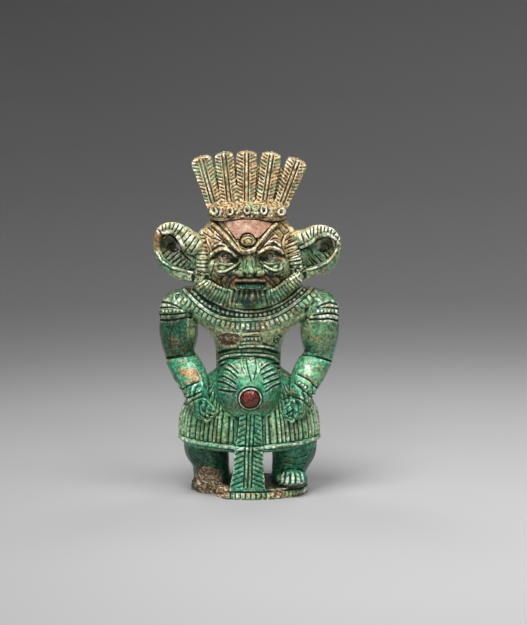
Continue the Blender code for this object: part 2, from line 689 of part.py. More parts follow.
def carve_plumes(p, n, at):
    """A midrib down both faces of each plume."""
    added = np.zeros(len(p))
    for foot_x, _, tip_x, tip_z, _ in PLUMES:
        foot, tip = np.array([foot_x, PLUME_FOOT_Z]), np.array([tip_x, tip_z])
        along = (tip - foot) / np.linalg.norm(tip - foot)
        off = (p[:, [0, 2]] - foot) @ np.array([along[1], -along[0]])
        added += 0.45 * bump(off, 0.8) - 0.3 * bump(np.abs(off) - 1.1, 0.5)
    return added * step(0.45, 0.75, np.abs(n[:, 1])) * step(78.6, 79.2, p[:, 2])


def carve_rosettes(p, n, at):
    added = np.zeros(len(p))
    for x, z in ROSETTES:
        away = np.hypot(p[:, 0] - x, p[:, 2] - z)
        added += 0.9 * step(0.0, 0.45, ROSETTE_RADIUS - away) - 1.3 * bump(away, 0.8)
    return added * front_of(n) * (p[:, 1] < -4.5)


def carve_face(p, n, at):
    added = lines(at, FACE_LINES)
    away = np.hypot((at[:, 0] - BOSS[0]) / BOSS_RADII[0], (at[:, 1] - BOSS[1]) / BOSS_RADII[1])
    added += 0.9 * step(1.0, 0.7, away) - 0.4 * bump(away - 1.15, 0.25)
    added += line(at, BOSS_SHADOW, 0.5, -0.7)
    for x, up in EYES:
        added += 0.8 * bump(np.hypot((at[:, 0] - x) / 1.9, (at[:, 1] - up) / 1.1), 1.0)
    return added * front_of(n)


def carve_hair(p, n, at):
    """Strands across the beard that rings the jaw, and level grooves down the side locks."""
    added = np.zeros(len(p))
    near, gap, run = to_path(at, spline(BEARD_LINE), 2.4)
    added[near] = -0.42 * (1.0 - wave(run / 1.25)) * step(0.0, 0.5, 2.1 - gap)
    for lock in (LOCK_LEFT, LOCK_RIGHT):
        near, gap, run = to_path(p, np.array([s[:3] for s in lock]), 2.6)
        added[near] -= 0.35 * (1.0 - wave(run / 1.2)) * step(0.0, 0.4, 2.4 - gap) * step(0.4, 0.9, run)
    return added * front_of(n)


def carve_ears(p, n, at):
    """Grooves across the rolled upper edge of each ear."""
    added = np.zeros(len(p))
    for rim in (EAR_LEFT, EAR_RIGHT):
        near, gap, run = to_path(p, np.array([s[:3] for s in rim[:8]]), 3.0)
        outward = step(0.0, 0.5, n[near, 2] + 0.5)
        added[near] -= 0.3 * (1.0 - wave(run / 1.3)) * step(0.4, 0.9, run) * outward
    return added * front_of(n)


def carve_trunk(p, n, at):
    """The collar's rims, the lines of the chest, the ribs of the belly and the ring round the navel."""
    added = lines(at, COLLAR_LINES) * (p[:, 2] > 39.0)
    added += lines(at, TRUNK_LINES)
    added += lines(at, [(rib, 0.45, -0.36) for rib in RIBS])
    away = np.hypot(p[:, 0] - NAVEL[0], p[:, 2] - NAVEL[2])
    added += 0.25 * bump(away - 2.8, 0.4) - 0.3 * bump(away - 3.3, 0.35)
    chip = np.hypot((at[:, 0] + 5.2) / 3.0, (at[:, 1] - 40.6) / 1.7)
    added -= 0.7 * bump(chip, 1.0)
    return added * front_of(n)


def carve_arms(p, n, at):
    """Armlets, the crease of each elbow and bracelets, cut on the side that the view shows."""
    return lines(at, ARM_LINES) * step(-0.25, 0.1, -n[:, 1]) * (np.abs(p[:, 0]) > 10.5)


def carve_kilt(p, n, at):
    """Pleats round the kilt, stopping at a plain raised hem."""
    reach = np.clip(np.abs(p[:, 0] - LOWER_X) / KILT_REACH, 0.0, 1.0)
    height = p[:, 2] - KILT_HEM - KILT_HEM_RISE * reach**2
    around = np.arctan2(p[:, 0] - LOWER_X, -p[:, 1] * 1.5) / (2.0 * math.pi)
    upright = step(0.0, 0.3, 0.75 - np.abs(n[:, 2]))
    clear = np.maximum(step(3.9, 4.3, np.abs(p[:, 0] - 0.5)), p[:, 1] > 0)
    belly = np.linalg.norm((p - np.array(BELLY[0])) / np.array(BELLY[1]), axis=1)
    pleats = (1.0 - wave(around * KILT_PLEATS)) * step(1.2, 1.6, height) * step(0.0, 1.5, 17.0 - height)
    hem = 0.3 * step(-0.3, 0.0, height) * step(0.0, 0.25, 1.1 - height)
    return (hem - 0.34 * pleats * clear) * upright * step(1.03, 1.1, belly)


def carve_tail(p, n, at):
    """Two long grooves down the hanging strip, with slanting barbs either side."""
    heights, middles, half_widths = zip(*[row[:3] for row in TAIL_SECTIONS])
    off = p[:, 0] - np.interp(p[:, 2], heights, middles)
    half = np.interp(p[:, 2], heights, half_widths)
    on = (p[:, 1] < -10.2) * (np.abs(off) < half)
    on = on * step(3.3, 3.8, p[:, 2]) * step(0.0, 0.6, 23.0 - p[:, 2])
    grooves = bump(np.abs(off) - 1.0, 0.35)
    barbs = (1.0 - wave(p[:, 2] / 1.4 + np.abs(off) * 0.3)) * step(1.3, 1.6, np.abs(off))
    return -(0.4 * grooves + 0.36 * barbs) * on * step(0.45, 0.7, -n[:, 1])


def carve_feet(p, n, at):
    """Toes on the whole paw, and notches along the plinth's edge."""
    paw = (p[:, 0] > 6.8) * (p[:, 1] < -2.0)
    paw = paw * step(0.0, 0.5, 6.8 - p[:, 2]) * step(2.9, 3.2, p[:, 2])
    added = -0.5 * (1.0 - wave((p[:, 0] - 7.6) / 1.4)) * paw
    edge = step(0.0, 0.2, 1.9 - p[:, 2]) * step(0.4, 0.7, np.hypot(n[:, 0], n[:, 1]))
    around = np.arctan2(p[:, 0] - PLINTH[3], -p[:, 1] * 1.3)
    whole = (p[:, 1] < -3.0) * (p[:, 0] > BROKEN_EDGE[0][0])
    added -= 0.4 * step(0.45, 0.8, 1.0 - wave(around * 7.0)) * edge * whole
    return added


CARVERS = (
    carve_plumes,
    carve_rosettes,
    carve_face,
    carve_hair,
    carve_ears,
    carve_trunk,
    carve_arms,
    carve_kilt,
    carve_tail,
    carve_feet,
)


def carve(mesh):
    """Moves each vertex along its normal by the sum of the carvings there."""
    count = len(mesh.vertices)
    points, normals = np.empty(count * 3), np.empty(count * 3, np.float32)
    mesh.vertices.foreach_get("co", points)
    mesh.vertices.foreach_get("normal", normals)
    p, n = points.reshape(-1, 3) / MM, normals.reshape(-1, 3).astype(float)
    at = seen(p)
    added = sum(carver(p, n, at) for carver in CARVERS)
    mesh.vertices.foreach_set("co", ((p + n * added[:, None]) * MM).ravel())
    mesh.update()


def thinned(mesh, triangles, group):
    holder = object_from(mesh, "carved", group)
    mesh.calc_loop_triangles()
    decimate = holder.modifiers.new("thin", "DECIMATE")
    decimate.ratio = triangles / len(mesh.loop_triangles)
    made = evaluated_mesh(holder)
    bpy.data.objects.remove(holder)
    return made


def flat_underside(mesh):
    """Cuts the skin level at the ground and closes it."""
    shape = bmesh.new()
    shape.from_mesh(mesh)
    everything = shape.verts[:] + shape.edges[:] + shape.faces[:]
    bmesh.ops.bisect_plane(shape, geom=everything, plane_co=(0, 0, 0), plane_no=(0, 0, -1), clear_outer=True)
    rim = [edge for edge in shape.edges if edge.is_boundary]
    bmesh.ops.contextual_create(shape, geom=rim)
    return mesh_of("figure", shape)


# The two inlays and the sockets they lie in.


def inlay_outline(grow):
    """The fan of the forehead inlay, seen from the front, with the notch for the boss."""
    (right_x, right_z), (left_x, left_z) = INLAY_FEET
    (middle_x, middle_z), radius = INLAY_NOTCH
    radius -= grow
    points = [(x + math.copysign(grow, x), z + grow) for x, z in INLAY_TOP][::-1]
    points.append((left_x - grow, left_z - grow))
    start = math.pi - math.asin((left_z - grow - middle_z) / radius)
    end = math.asin((right_z - grow - middle_z) / radius)
    for i in range(9):
        angle = start + (end - start) * i / 8.0
        points.append((middle_x + radius * math.cos(angle), middle_z + radius * math.sin(angle)))
    points.append((right_x + grow, right_z - grow))
    return points


def brow_shell(outline, inner, outer, group):
    """The part of a prism through the forehead that lies between two offsets of the head."""
    kept = plate(outline, -16.0, -4.0, "Y")
    for grow, operation in ((outer, "INTERSECT"), (inner, "DIFFERENCE")):
        sections = [(z, w + grow, f - grow, b + grow) for z, w, f, b in HEAD_SECTIONS]
        kept = cut(kept, loft(sections, HEAD_X, HEAD_POWER, sides=48), operation, group)
    return kept


def turned(profile, place, name):
    """A profile of (radius, height) turned about its own axis."""
    shape = bmesh.new()
    corners = [shape.verts.new((radius * MM, 0.0, height * MM)) for radius, height in profile]
    for a, b in zip(corners, corners[1:]):
        shape.edges.new((a, b))
    mesh = bpy.data.meshes.new(name)
    shape.to_mesh(mesh)
    shape.free()
    holder = bpy.data.objects.new(name, mesh)
    holder.matrix_world = place
    screw = holder.modifiers.new("turn", "SCREW")
    screw.steps = screw.render_steps = 32
    screw.use_merge_vertices = True
    screw.merge_threshold = 0.00001
    return holder


def navel_place():
    """The navel's axis: out of the belly, tipped a little down."""
    return Matrix.Translation(Vector(NAVEL) * MM) @ Matrix.Rotation(math.pi / 2.0 + NAVEL_TILT, 4, "X")


def navel_cutter():
    shape = bmesh.new()
    radius = (NAVEL_INLAY_RADIUS + INLAY_GAP) * MM
    bmesh.ops.create_cone(shape, cap_ends=True, segments=32, radius1=radius, radius2=radius, depth=6.0 * MM)
    drop = Matrix.Translation((0.0, 0.0, (3.0 - NAVEL_SOCKET_DEPTH) * MM))
    bmesh.ops.transform(shape, matrix=navel_place() @ drop, verts=shape.verts)
    return mesh_of("navel_cutter", shape)


def main():
    clear_scene()
    parts = collection("bes_figure")
    workshop = collection("cutters", shown=False)
    glaze = material("green_glaze", (0.09, 0.36, 0.27), 0.32)
    rose = material("rose_inlay", (0.55, 0.27, 0.21), 0.55)
    red = material("red_inlay", (0.33, 0.04, 0.03), 0.4)

    lower = [*plinth(), *legs(), *kilt(), *tail()]
    upper = [*trunk(), *arms(), *head(), *ears(workshop), *headdress()]
    skin = fused([*lower, *upper], workshop)
    carve(skin)
    skin = flat_underside(thinned(skin, FIGURE_TRIANGLES, workshop))
    socket = brow_shell(inlay_outline(INLAY_GAP), -INLAY_THICKNESS - INLAY_GAP, 2.5, workshop)
    skin = cut(skin, socket, "DIFFERENCE", workshop)
    skin = cut(skin, navel_cutter(), "DIFFERENCE", workshop)
    figure = object_from(skin, "figure", parts)
    figure.data.materials.clear()
    figure.data.materials.append(glaze)

    plaque = brow_shell(inlay_outline(0.0), -INLAY_THICKNESS, 0.2, workshop)
    forehead = object_from(plaque, "forehead_inlay", parts)
    forehead.data.materials.clear()
    forehead.data.materials.append(rose)

    navel = turned(NAVEL_INLAY_PROFILE, navel_place(), "navel_inlay")
    parts.objects.link(navel)
    navel.data.materials.append(red)


main()
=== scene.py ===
"""Looks of the plumed Bes figure in glazed faience: fine relief, glaze, stage and camera.

The tables are in millimetres and are turned into metres where a shape is made. The forms are the same as
the solid's; finer relief, wear and colour are added here.
"""

import math

import bmesh
import bpy
import numpy as np
from mathutils import Matrix, Vector, kdtree, noise


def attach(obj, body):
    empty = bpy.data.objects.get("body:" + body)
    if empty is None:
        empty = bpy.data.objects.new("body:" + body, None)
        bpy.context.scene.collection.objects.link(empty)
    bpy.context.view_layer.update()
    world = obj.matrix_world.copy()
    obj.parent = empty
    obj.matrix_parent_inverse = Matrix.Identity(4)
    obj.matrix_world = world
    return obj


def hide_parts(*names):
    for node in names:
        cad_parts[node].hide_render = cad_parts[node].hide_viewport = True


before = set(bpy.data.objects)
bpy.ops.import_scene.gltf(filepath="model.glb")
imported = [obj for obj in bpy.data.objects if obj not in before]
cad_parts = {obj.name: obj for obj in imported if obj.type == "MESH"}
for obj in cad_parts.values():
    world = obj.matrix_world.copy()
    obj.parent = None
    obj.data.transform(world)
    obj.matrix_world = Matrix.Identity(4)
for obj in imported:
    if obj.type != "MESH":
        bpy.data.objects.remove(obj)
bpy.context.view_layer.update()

MM = 0.001
UPRIGHT = Matrix.Rotation(math.pi / 2.0, 4, "X")

# Plinth: an oval front and a squarer back, with its front left corner broken away.
PLINTH = (15.2, -11.2, 9.8, 0.8)  # half width, front, back, middle
PLINTH_TOP = 2.7
PLINTH_SIDES = 48
PLINTH_BEAD_PITCH = 1.2
BROKEN_EDGE = [(-5.8, -10.2), (-8.1, -7.2), (-8.5, -2.6), (-10.4, -0.6), (-13.6, 0.4), (-15.4, 1.6)]

# Lower body: the legs and kilt stand a little to the right of the ears' middle.
LOWER_X = 0.4
LEG_LEFT = [  # x, y, height, radius
    (-11.1, 0.4, 20.0, 6.4), (-11.0, -0.6, 15.0, 6.1), (-10.8, -0.9, 12.0, 6.1),
    (-10.0, -0.2, 8.6, 5.2), (-9.7, 0.6, 5.4, 4.9), (-9.7, 0.6, 2.4, 4.9),
]
LEG_RIGHT = [
    (11.9, 0.4, 20.0, 6.4), (12.2, -0.6, 15.0, 6.3), (12.2, -0.9, 12.0, 6.2), (11.5, -0.2, 8.6, 5.2),
    (11.0, 0.6, 5.8, 4.7), (11.2, 0.6, 2.4, 4.6),
]
PAW = ((11.8, -4.6, 4.3), (4.2, 4.9, 2.7))  # middle, radii
STUMP_END = ((-10.4, 0.2, 3.4), (3.6, 4.0, 3.9))
HEELS = [(-7.3, 5.6, 3.0), (8.9, 5.6, 3.0)]
HEEL_RADII = (2.8, 3.8, 2.4)
KILT_SECTIONS = [  # height, half width, front, back
    (35.4, 7.2, -7.0, 7.6), (33.2, 9.0, -7.8, 8.6), (31.0, 12.0, -8.6, 9.4), (28.0, 15.2, -9.3, 9.9),
    (24.8, 17.2, -9.8, 10.2), (21.5, 18.5, -10.3, 10.3), (18.0, 19.0, -10.8, 10.2),
    (15.0, 18.9, -11.2, 10.0), (13.5, 18.5, -11.2, 9.8), (12.6, 17.6, -10.6, 9.2),
]
KILT_REACH = 19.0
KILT_HEM = 13.5
KILT_HEM_RISE = 1.0
PLEATS_SEEN = 72
TAIL_SECTIONS = [  # height, middle, half width, front, back
    (2.0, -0.1, 4.8, -10.9, -5.6), (4.0, 0.0, 4.6, -11.2, -6.4), (8.0, 0.2, 4.0, -11.9, -7.4),
    (12.5, 0.25, 3.8, -12.4, -7.4), (18.0, 0.6, 3.2, -12.6, -8.0), (23.5, 0.8, 2.8, -12.3, -8.0),
]

TRUNK_SECTIONS = [
    (28.0, 8.6, -8.0, 8.4), (35.0, 8.6, -8.8, 8.2), (39.0, 8.7, -8.7, 8.1), (41.5, 9.4, -9.6, 8.3),
    (43.5, 10.7, -10.2, 8.6), (45.5, 12.9, -10.5, 8.9), (48.0, 16.2, -10.2, 9.2),
    (51.5, 17.4, -9.0, 9.0), (54.6, 15.8, -7.4, 8.4), (58.5, 11.0, -5.0, 7.0),
]
BELLY = ((0.3, -5.2, 29.5), (8.7, 9.9, 9.4))
NAVEL = (0.7, -14.9, 28.0)
NAVEL_TILT = math.radians(12)

# The arms are mirrored about a line between them.
ARMS_X = 0.4
UPPER_ARM = [
    (-15.6, 0.2, 50.9, 4.6), (-17.7, 0.2, 49.4, 5.6), (-18.3, 0.2, 46.0, 5.15), (-18.3, 0.3, 42.4, 5.1),
    (-18.3, 0.5, 39.4, 4.5), (-18.2, 0.6, 37.2, 3.9),
]
FOREARM = [
    (-17.8, 0.3, 36.0, 4.1), (-16.4, -1.4, 34.2, 4.35), (-14.8, -4.0, 31.4, 4.3),
    (-13.7, -6.3, 28.6, 3.6), (-13.2, -7.4, 26.6, 3.1),
]
HAND = [(-12.9, -7.6, 25.6, 2.8), (-11.9, -8.3, 23.9, 2.8)]
FINGERS = [  # knuckle and tip of each, from the thumb down
    ((-11.4, -9.6, 26.3, 1.0), (-9.2, -10.2, 24.2, 0.85)),
    ((-11.8, -10.0, 24.9, 1.0), (-9.0, -10.6, 23.1, 0.85)),
    ((-12.2, -10.1, 24.1, 1.0), (-9.7, -10.8, 22.2, 0.85)),
    ((-12.7, -9.8, 23.3, 1.0), (-10.8, -10.5, 21.6, 0.85)),
]

# Head, seen as a mask with a steep brow, and everything that rings it.
HEAD_X = 0.1
HEAD_POWER = 2.25
HEAD_SECTIONS = [
    (49.0, 8.5, -6.4, 9.4), (52.5, 10.6, -8.2, 10.0), (56.0, 12.2, -9.4, 10.4),
    (60.0, 13.0, -9.8, 10.6), (64.0, 13.2, -10.0, 10.6), (67.5, 13.3, -10.4, 10.2),
    (70.3, 12.6, -10.0, 9.4), (72.2, 10.9, -9.4, 8.4), (73.6, 10.1, -9.0, 7.4), (75.6, 9.6, -8.4, 6.6),
]
FACE_FORMS = [  # middle and radii of the muzzle, the nose and its sides, and the eyes
    ((0.5, -8.6, 58.4), (7.4, 4.3, 4.0)),
    ((0.65, -12.0, 61.6), (1.9, 2.2, 1.6)),
    ((-1.2, -11.4, 61.3), (1.3, 1.7, 1.2)),
    ((2.5, -11.4, 61.4), (1.3, 1.7, 1.2)),
    ((-6.2, -8.0, 62.0), (4.2, 3.6, 3.0)),
    ((6.8, -8.0, 62.2), (4.2, 3.6, 3.0)),
]
NOSE_BRIDGE = [(0.3, -10.2, 66.2, 1.7), (0.6, -11.8, 62.8, 1.6)]
BAND_SECTIONS = [
    (74.2, 10.0, -8.6, 6.2), (75.0, 10.4, -9.1, 6.2), (76.6, 10.4, -9.1, 5.8), (77.6, 10.1, -8.1, 5.0),
    (78.6, 9.6, -5.6, 4.2), (79.2, 9.2, -4.2, 3.8),
]
BEARD = [
    (-12.6, -3.6, 59.6, 1.7), (-12.2, -5.2, 57.6, 1.8), (-10.4, -7.0, 56.2, 2.0),
    (-7.2, -9.2, 54.8, 2.2), (-3.4, -10.4, 54.0, 2.4), (0.6, -10.7, 53.8, 2.5), (4.4, -10.4, 54.1, 2.4),
    (8.0, -9.2, 55.2, 2.2), (11.2, -7.0, 57.2, 2.0), (13.0, -5.2, 58.8, 1.8), (13.4, -3.6, 60.8, 1.7),
]
LOCK_LEFT = [
    (-11.5, -3.0, 70.2, 1.5), (-11.7, -4.4, 67.6, 1.75), (-11.8, -5.2, 64.4, 1.8),
    (-11.9, -5.2, 61.0, 1.8), (-12.1, -4.6, 58.2, 1.7),
]
LOCK_RIGHT = [
    (11.0, -3.0, 70.6, 1.5), (11.4, -4.4, 68.0, 1.9), (12.1, -5.0, 65.0, 2.0), (12.7, -5.0, 62.4, 1.8),
    (13.3, -4.4, 60.0, 1.6),
]
EAR_LEFT = [
    (-12.3, -4.2, 67.0, 2.6), (-14.1, -4.6, 67.9, 2.7), (-15.5, -4.9, 69.1, 2.5),
    (-17.5, -5.0, 71.2, 1.8), (-19.4, -4.8, 72.1, 1.45), (-21.0, -4.6, 72.1, 1.25),
    (-22.6, -4.4, 71.4, 1.15), (-23.5, -4.2, 69.6, 1.1), (-23.8, -3.9, 67.2, 1.05),
    (-23.4, -3.7, 64.6, 1.1), (-22.4, -3.6, 62.7, 1.25), (-20.9, -3.5, 61.1, 1.4),
    (-19.1, -3.4, 60.0, 1.5), (-17.0, -3.4, 59.2, 1.55), (-14.4, -3.2, 58.8, 1.7),
]
EAR_RIGHT = [
    (12.0, -4.2, 68.6, 2.3), (13.8, -4.6, 69.2, 2.25), (15.7, -4.9, 69.9, 1.95),
    (17.2, -5.0, 70.9, 1.7), (18.9, -4.8, 71.3, 1.5), (20.7, -4.6, 71.2, 1.3), (22.1, -4.4, 70.5, 1.2),
    (23.2, -4.2, 69.2, 1.1), (23.7, -3.9, 67.2, 1.05), (23.5, -3.7, 65.1, 1.1), (22.7, -3.6, 63.4, 1.2),
    (20.4, -3.5, 61.6, 1.35), (18.3, -3.4, 60.6, 1.4), (16.2, -3.4, 59.8, 1.5), (14.4, -3.2, 59.2, 1.6),
]
EAR_OUTSIDE = ((18.4, -2.3, 65.5), (5.9, 3.7, 6.6))  # middle, radii
EAR_INSIDE = ((18.6, -4.8, 65.3), (5.2, 3.4, 5.6))
EAR_ROOT = ((14.0, -1.4, 62.6), (3.6, 2.6, 4.4))
EAR_LEAN = -20.0
EAR_HOLES = [(-19.6, 66.3), (19.9, 66.2)]
EAR_HOLE_RADIUS = 1.2
EAR_HOLE_Y = -1.6
EAR_HOLE_SLANT = math.radians(38)

# Headdress: five plumes in a fan, given by the middle of each foot and tip.
PLUMES = [  # foot x, foot half width, tip x, tip z, tip half width
    (-8.5, 1.75, -12.4, 90.2, 2.8), (-4.5, 2.05, -6.3, 91.3, 2.5), (-0.3, 2.05, -0.2, 91.6, 2.8),
    (4.1, 2.05, 6.4, 91.3, 2.7), (8.3, 1.75, 13.3, 89.5, 2.8),
]
PLUME_FOOT_Z = 76.5
PLUME_DAMAGE = ((5.9, 85.6), (1.2, 2.0))  # middle, radii
BARB_PITCH = 0.92
ROSETTES = [(-8.7, 76.7), (-4.6, 76.8), (-0.1, 77.1), (4.3, 77.0), (8.8, 76.5)]

# The photograph's view, in which the carved lines are drawn.
VIEW_PITCH = math.radians(10)
VIEW_DISTANCE = 900.0
VIEW_MIDDLE = (4.2, 48.5)
VIEW_LIFT = 47.75

# Carved lines as (points, half width, height). Points are (across, up) as seen from that view,
# and a height below 0 is a groove.
BROW_V = [
    (-8.9, 71.1), (-6.8, 69.0), (-5.0, 67.1), (-3.4, 65.3), (-1.8, 64.0), (-0.2, 63.7),
    (1.2, 64.1), (2.2, 65.4), (3.8, 67.0), (5.4, 69.0), (7.3, 71.1),
]
FACE_LINES = [
    (BROW_V, 0.85, 0.9),
    ([(-9.6, 62.8), (-8.4, 64.0), (-6.4, 64.7), (-4.4, 64.0), (-3.1, 62.8)], 0.8, 0.8),
    ([(3.0, 63.8), (5.4, 64.8), (7.8, 64.6), (9.1, 63.6)], 0.8, 0.8),
    ([(-8.7, 61.6), (-6.0, 61.4), (-3.0, 61.4)], 1.0, -0.7),
    ([(3.6, 62.0), (5.9, 61.6), (8.9, 61.6)], 1.0, -0.7),
    ([(-8.4, 60.4), (-7.3, 60.8), (-5.8, 60.5), (-4.2, 60.8)], 0.5, 0.5),
    ([(4.3, 61.3), (5.7, 60.6), (7.3, 60.9), (8.6, 61.4)], 0.5, 0.5),
    ([(-8.4, 60.1), (-8.1, 58.9), (-6.5, 58.6), (-5.0, 59.2), (-3.4, 60.2)], 0.5, 0.5),
    ([(4.6, 60.2), (5.9, 59.4), (7.5, 59.0), (8.7, 59.4), (8.9, 60.9)], 0.5, 0.5),
    ([(-1.6, 58.2), (-3.4, 58.3), (-5.0, 57.5), (-6.0, 56.2)], 1.1, 1.0),
    ([(2.8, 58.3), (4.6, 58.4), (6.2, 57.5), (7.6, 56.0)], 1.1, 1.0),
    ([(-3.1, 56.2), (0.6, 56.4), (4.4, 56.2)], 0.6, 0.5),
    ([(-3.1, 55.3), (0.6, 55.3), (4.6, 55.3)], 0.5, -1.0),
    ([(-2.9, 54.2), (0.6, 53.9), (4.4, 54.2)], 0.6, 0.5),
    ([(-10.5, 56.7), (-9.2, 55.6), (-7.9, 54.5), (-6.0, 53.7), (-4.0, 53.3)], 0.5, 0.4),
    ([(12.8, 58.2), (11.2, 56.9), (9.7, 55.7), (8.1, 54.5), (5.8, 53.5)], 0.5, 0.4),
]
EYES = [(-6.0, 62.6), (5.9, 62.7)]
BOSS = (0.1, 66.6)
BOSS_RADII = (2.0, 1.4)
BOSS_SHADOW = [(-2.3, 67.6), (-1.2, 68.5), (0.1, 68.8), (1.2, 68.6), (2.0, 67.9), (2.6, 67.0)]
BEARD_LINE = [
    (-12.9, 56.9), (-11.1, 54.5), (-9.2, 53.2), (-7.3, 52.1), (-5.2, 51.3), (-2.6, 51.1), (0.6, 51.2),
    (3.8, 51.2), (6.2, 51.9), (8.3, 52.9), (10.5, 54.5), (12.3, 56.1), (13.6, 57.4),
]
COLLAR_INNER = [
    (-14.5, 55.1), (-12.1, 52.7), (-8.9, 50.7), (-5.8, 49.2), (-2.0, 48.2), (0.6, 48.0),
    (4.1, 48.3), (7.8, 49.6), (11.2, 51.6), (14.7, 54.5),
]
COLLAR_MIDDLE = [
    (-16.9, 53.7), (-14.5, 51.3), (-11.6, 48.8), (-8.1, 46.8), (-4.2, 45.9), (0.6, 45.9),
    (5.1, 46.3), (8.3, 47.5), (11.8, 49.7), (15.8, 52.9), (17.4, 54.5),
]
COLLAR_OUTER = [
    (-17.6, 49.2), (-14.0, 46.4), (-10.3, 44.4), (-5.6, 43.0), (0.6, 42.8),
    (6.6, 43.2), (11.2, 45.4), (15.0, 48.0), (18.0, 50.8),
]
COLLAR_LINES = [(COLLAR_INNER, 0.6, 0.5), (COLLAR_MIDDLE, 0.6, 0.45), (COLLAR_OUTER, 0.8, -0.25)]
TRUNK_LINES = [
    ([(-1.2, 41.8), (0.6, 42.0), (2.7, 42.2)], 0.45, 0.35),
    ([(-2.0, 38.5), (-0.4, 38.9), (1.7, 39.0), (3.8, 38.9), (6.7, 38.2)], 0.55, 0.5),
    ([(-7.9, 37.0), (-4.2, 37.7), (0.6, 37.9), (4.9, 37.7), (8.1, 37.0)], 0.8, -0.6),
    ([(-7.6, 35.0), (-5.8, 36.0), (-3.1, 36.5), (0.6, 36.6), (6.0, 36.1), (8.6, 34.3)], 0.6, 0.4),
]
RIBS = [
    [(-7.5, 33.5), (-5.8, 34.0), (-4.4, 33.4), (-2.6, 31.7)],
    [(-7.9, 31.8), (-6.5, 32.5), (-5.0, 32.3), (-2.8, 30.4)],
    [(-7.9, 30.5), (-6.3, 30.7), (-4.7, 29.8), (-3.2, 28.8)],
    [(-8.1, 29.4), (-6.3, 29.0), (-4.7, 28.2), (-3.1, 27.2)],
    [(-7.6, 27.2), (-5.8, 26.8), (-3.5, 26.6)],
    [(8.3, 34.2), (6.5, 34.1), (4.9, 33.5), (3.5, 32.4)],
    [(8.5, 33.0), (6.2, 32.4), (3.8, 31.2)],
    [(8.5, 31.8), (6.2, 30.9), (4.3, 30.0)],
    [(8.5, 30.2), (6.5, 29.5), (4.3, 28.5)],
    [(8.6, 28.8), (6.7, 28.0), (4.9, 26.7)],
]
ARM_LINES = [
    ([(-23.6, 50.7), (-21.4, 50.4), (-19.8, 49.9), (-17.6, 48.8)], 0.5, -0.4),
    ([(-23.6, 49.0), (-20.6, 49.1), (-18.0, 48.7)], 0.4, -0.3),
    ([(-23.6, 47.2), (-20.0, 47.2), (-16.4, 47.6)], 0.4, -0.35),
    ([(-23.6, 45.8), (-20.6, 45.6), (-18.5, 45.9), (-15.2, 46.4)], 0.45, -0.45),
    ([(18.6, 49.2), (20.3, 50.0), (21.9, 50.4), (24.0, 49.9)], 0.5, -0.4),
    ([(18.6, 48.9), (21.0, 49.1), (24.2, 48.8)], 0.4, -0.3),
    ([(17.4, 46.9), (21.9, 47.5), (24.4, 46.9)], 0.4, -0.35),
    ([(16.4, 45.8), (19.7, 45.9), (21.9, 46.0), (24.6, 45.4)], 0.45, -0.45),
    ([(-22.6, 35.6), (-20.1, 35.8), (-18.0, 36.2), (-15.8, 36.5), (-13.4, 37.0)], 0.55, -0.6),
    ([(14.2, 36.6), (16.8, 36.5), (19.2, 35.9), (23.2, 34.5)], 0.55, -0.6),
    ([(-18.8, 26.3), (-16.4, 28.0), (-13.0, 29.4)], 0.4, -0.35),
    ([(-17.8, 24.6), (-15.0, 25.4), (-12.2, 26.8)], 0.4, -0.35),
    ([(-16.6, 23.2), (-14.5, 24.4), (-11.8, 25.5)], 0.45, -0.45),
    ([(13.2, 31.4), (16.0, 30.0), (17.6, 28.6), (19.8, 26.3)], 0.4, -0.35),
    ([(12.4, 29.0), (14.7, 27.2), (16.0, 26.1), (18.0, 24.3)], 0.4, -0.35),
    ([(11.4, 25.5), (14.2, 24.6), (16.4, 22.9)], 0.45, -0.45),
]

# Finer lines, in the same view.
EAR_RIDGES = [
    [(-22.6, 69.0), (-20.7, 69.4), (-18.7, 68.3), (-17.4, 66.3), (-16.0, 64.3), (-14.0, 62.9)],
    [(13.9, 65.1), (17.0, 66.9), (19.2, 68.3), (21.4, 68.5), (23.2, 67.5), (24.0, 66.1)],
]
EAR_INNER_EDGES = [
    [(-22.4, 68.0), (-20.6, 68.3), (-19.0, 67.0), (-18.2, 64.9), (-16.9, 62.8), (-15.3, 61.6)],
    [(14.0, 64.4), (16.8, 66.0), (19.1, 67.4), (21.0, 67.9), (22.6, 66.9), (23.3, 65.2)],
]
EAR_LOW_RIMS = [
    [(-24.1, 63.8), (-23.3, 62.2), (-22.5, 61.2), (-20.1, 59.6), (-18.5, 59.2), (-15.8, 58.5), (-14.2, 58.2)],
    [(15.0, 58.8), (17.6, 59.4), (20.5, 60.6), (22.4, 62.2), (23.7, 64.4)],
]
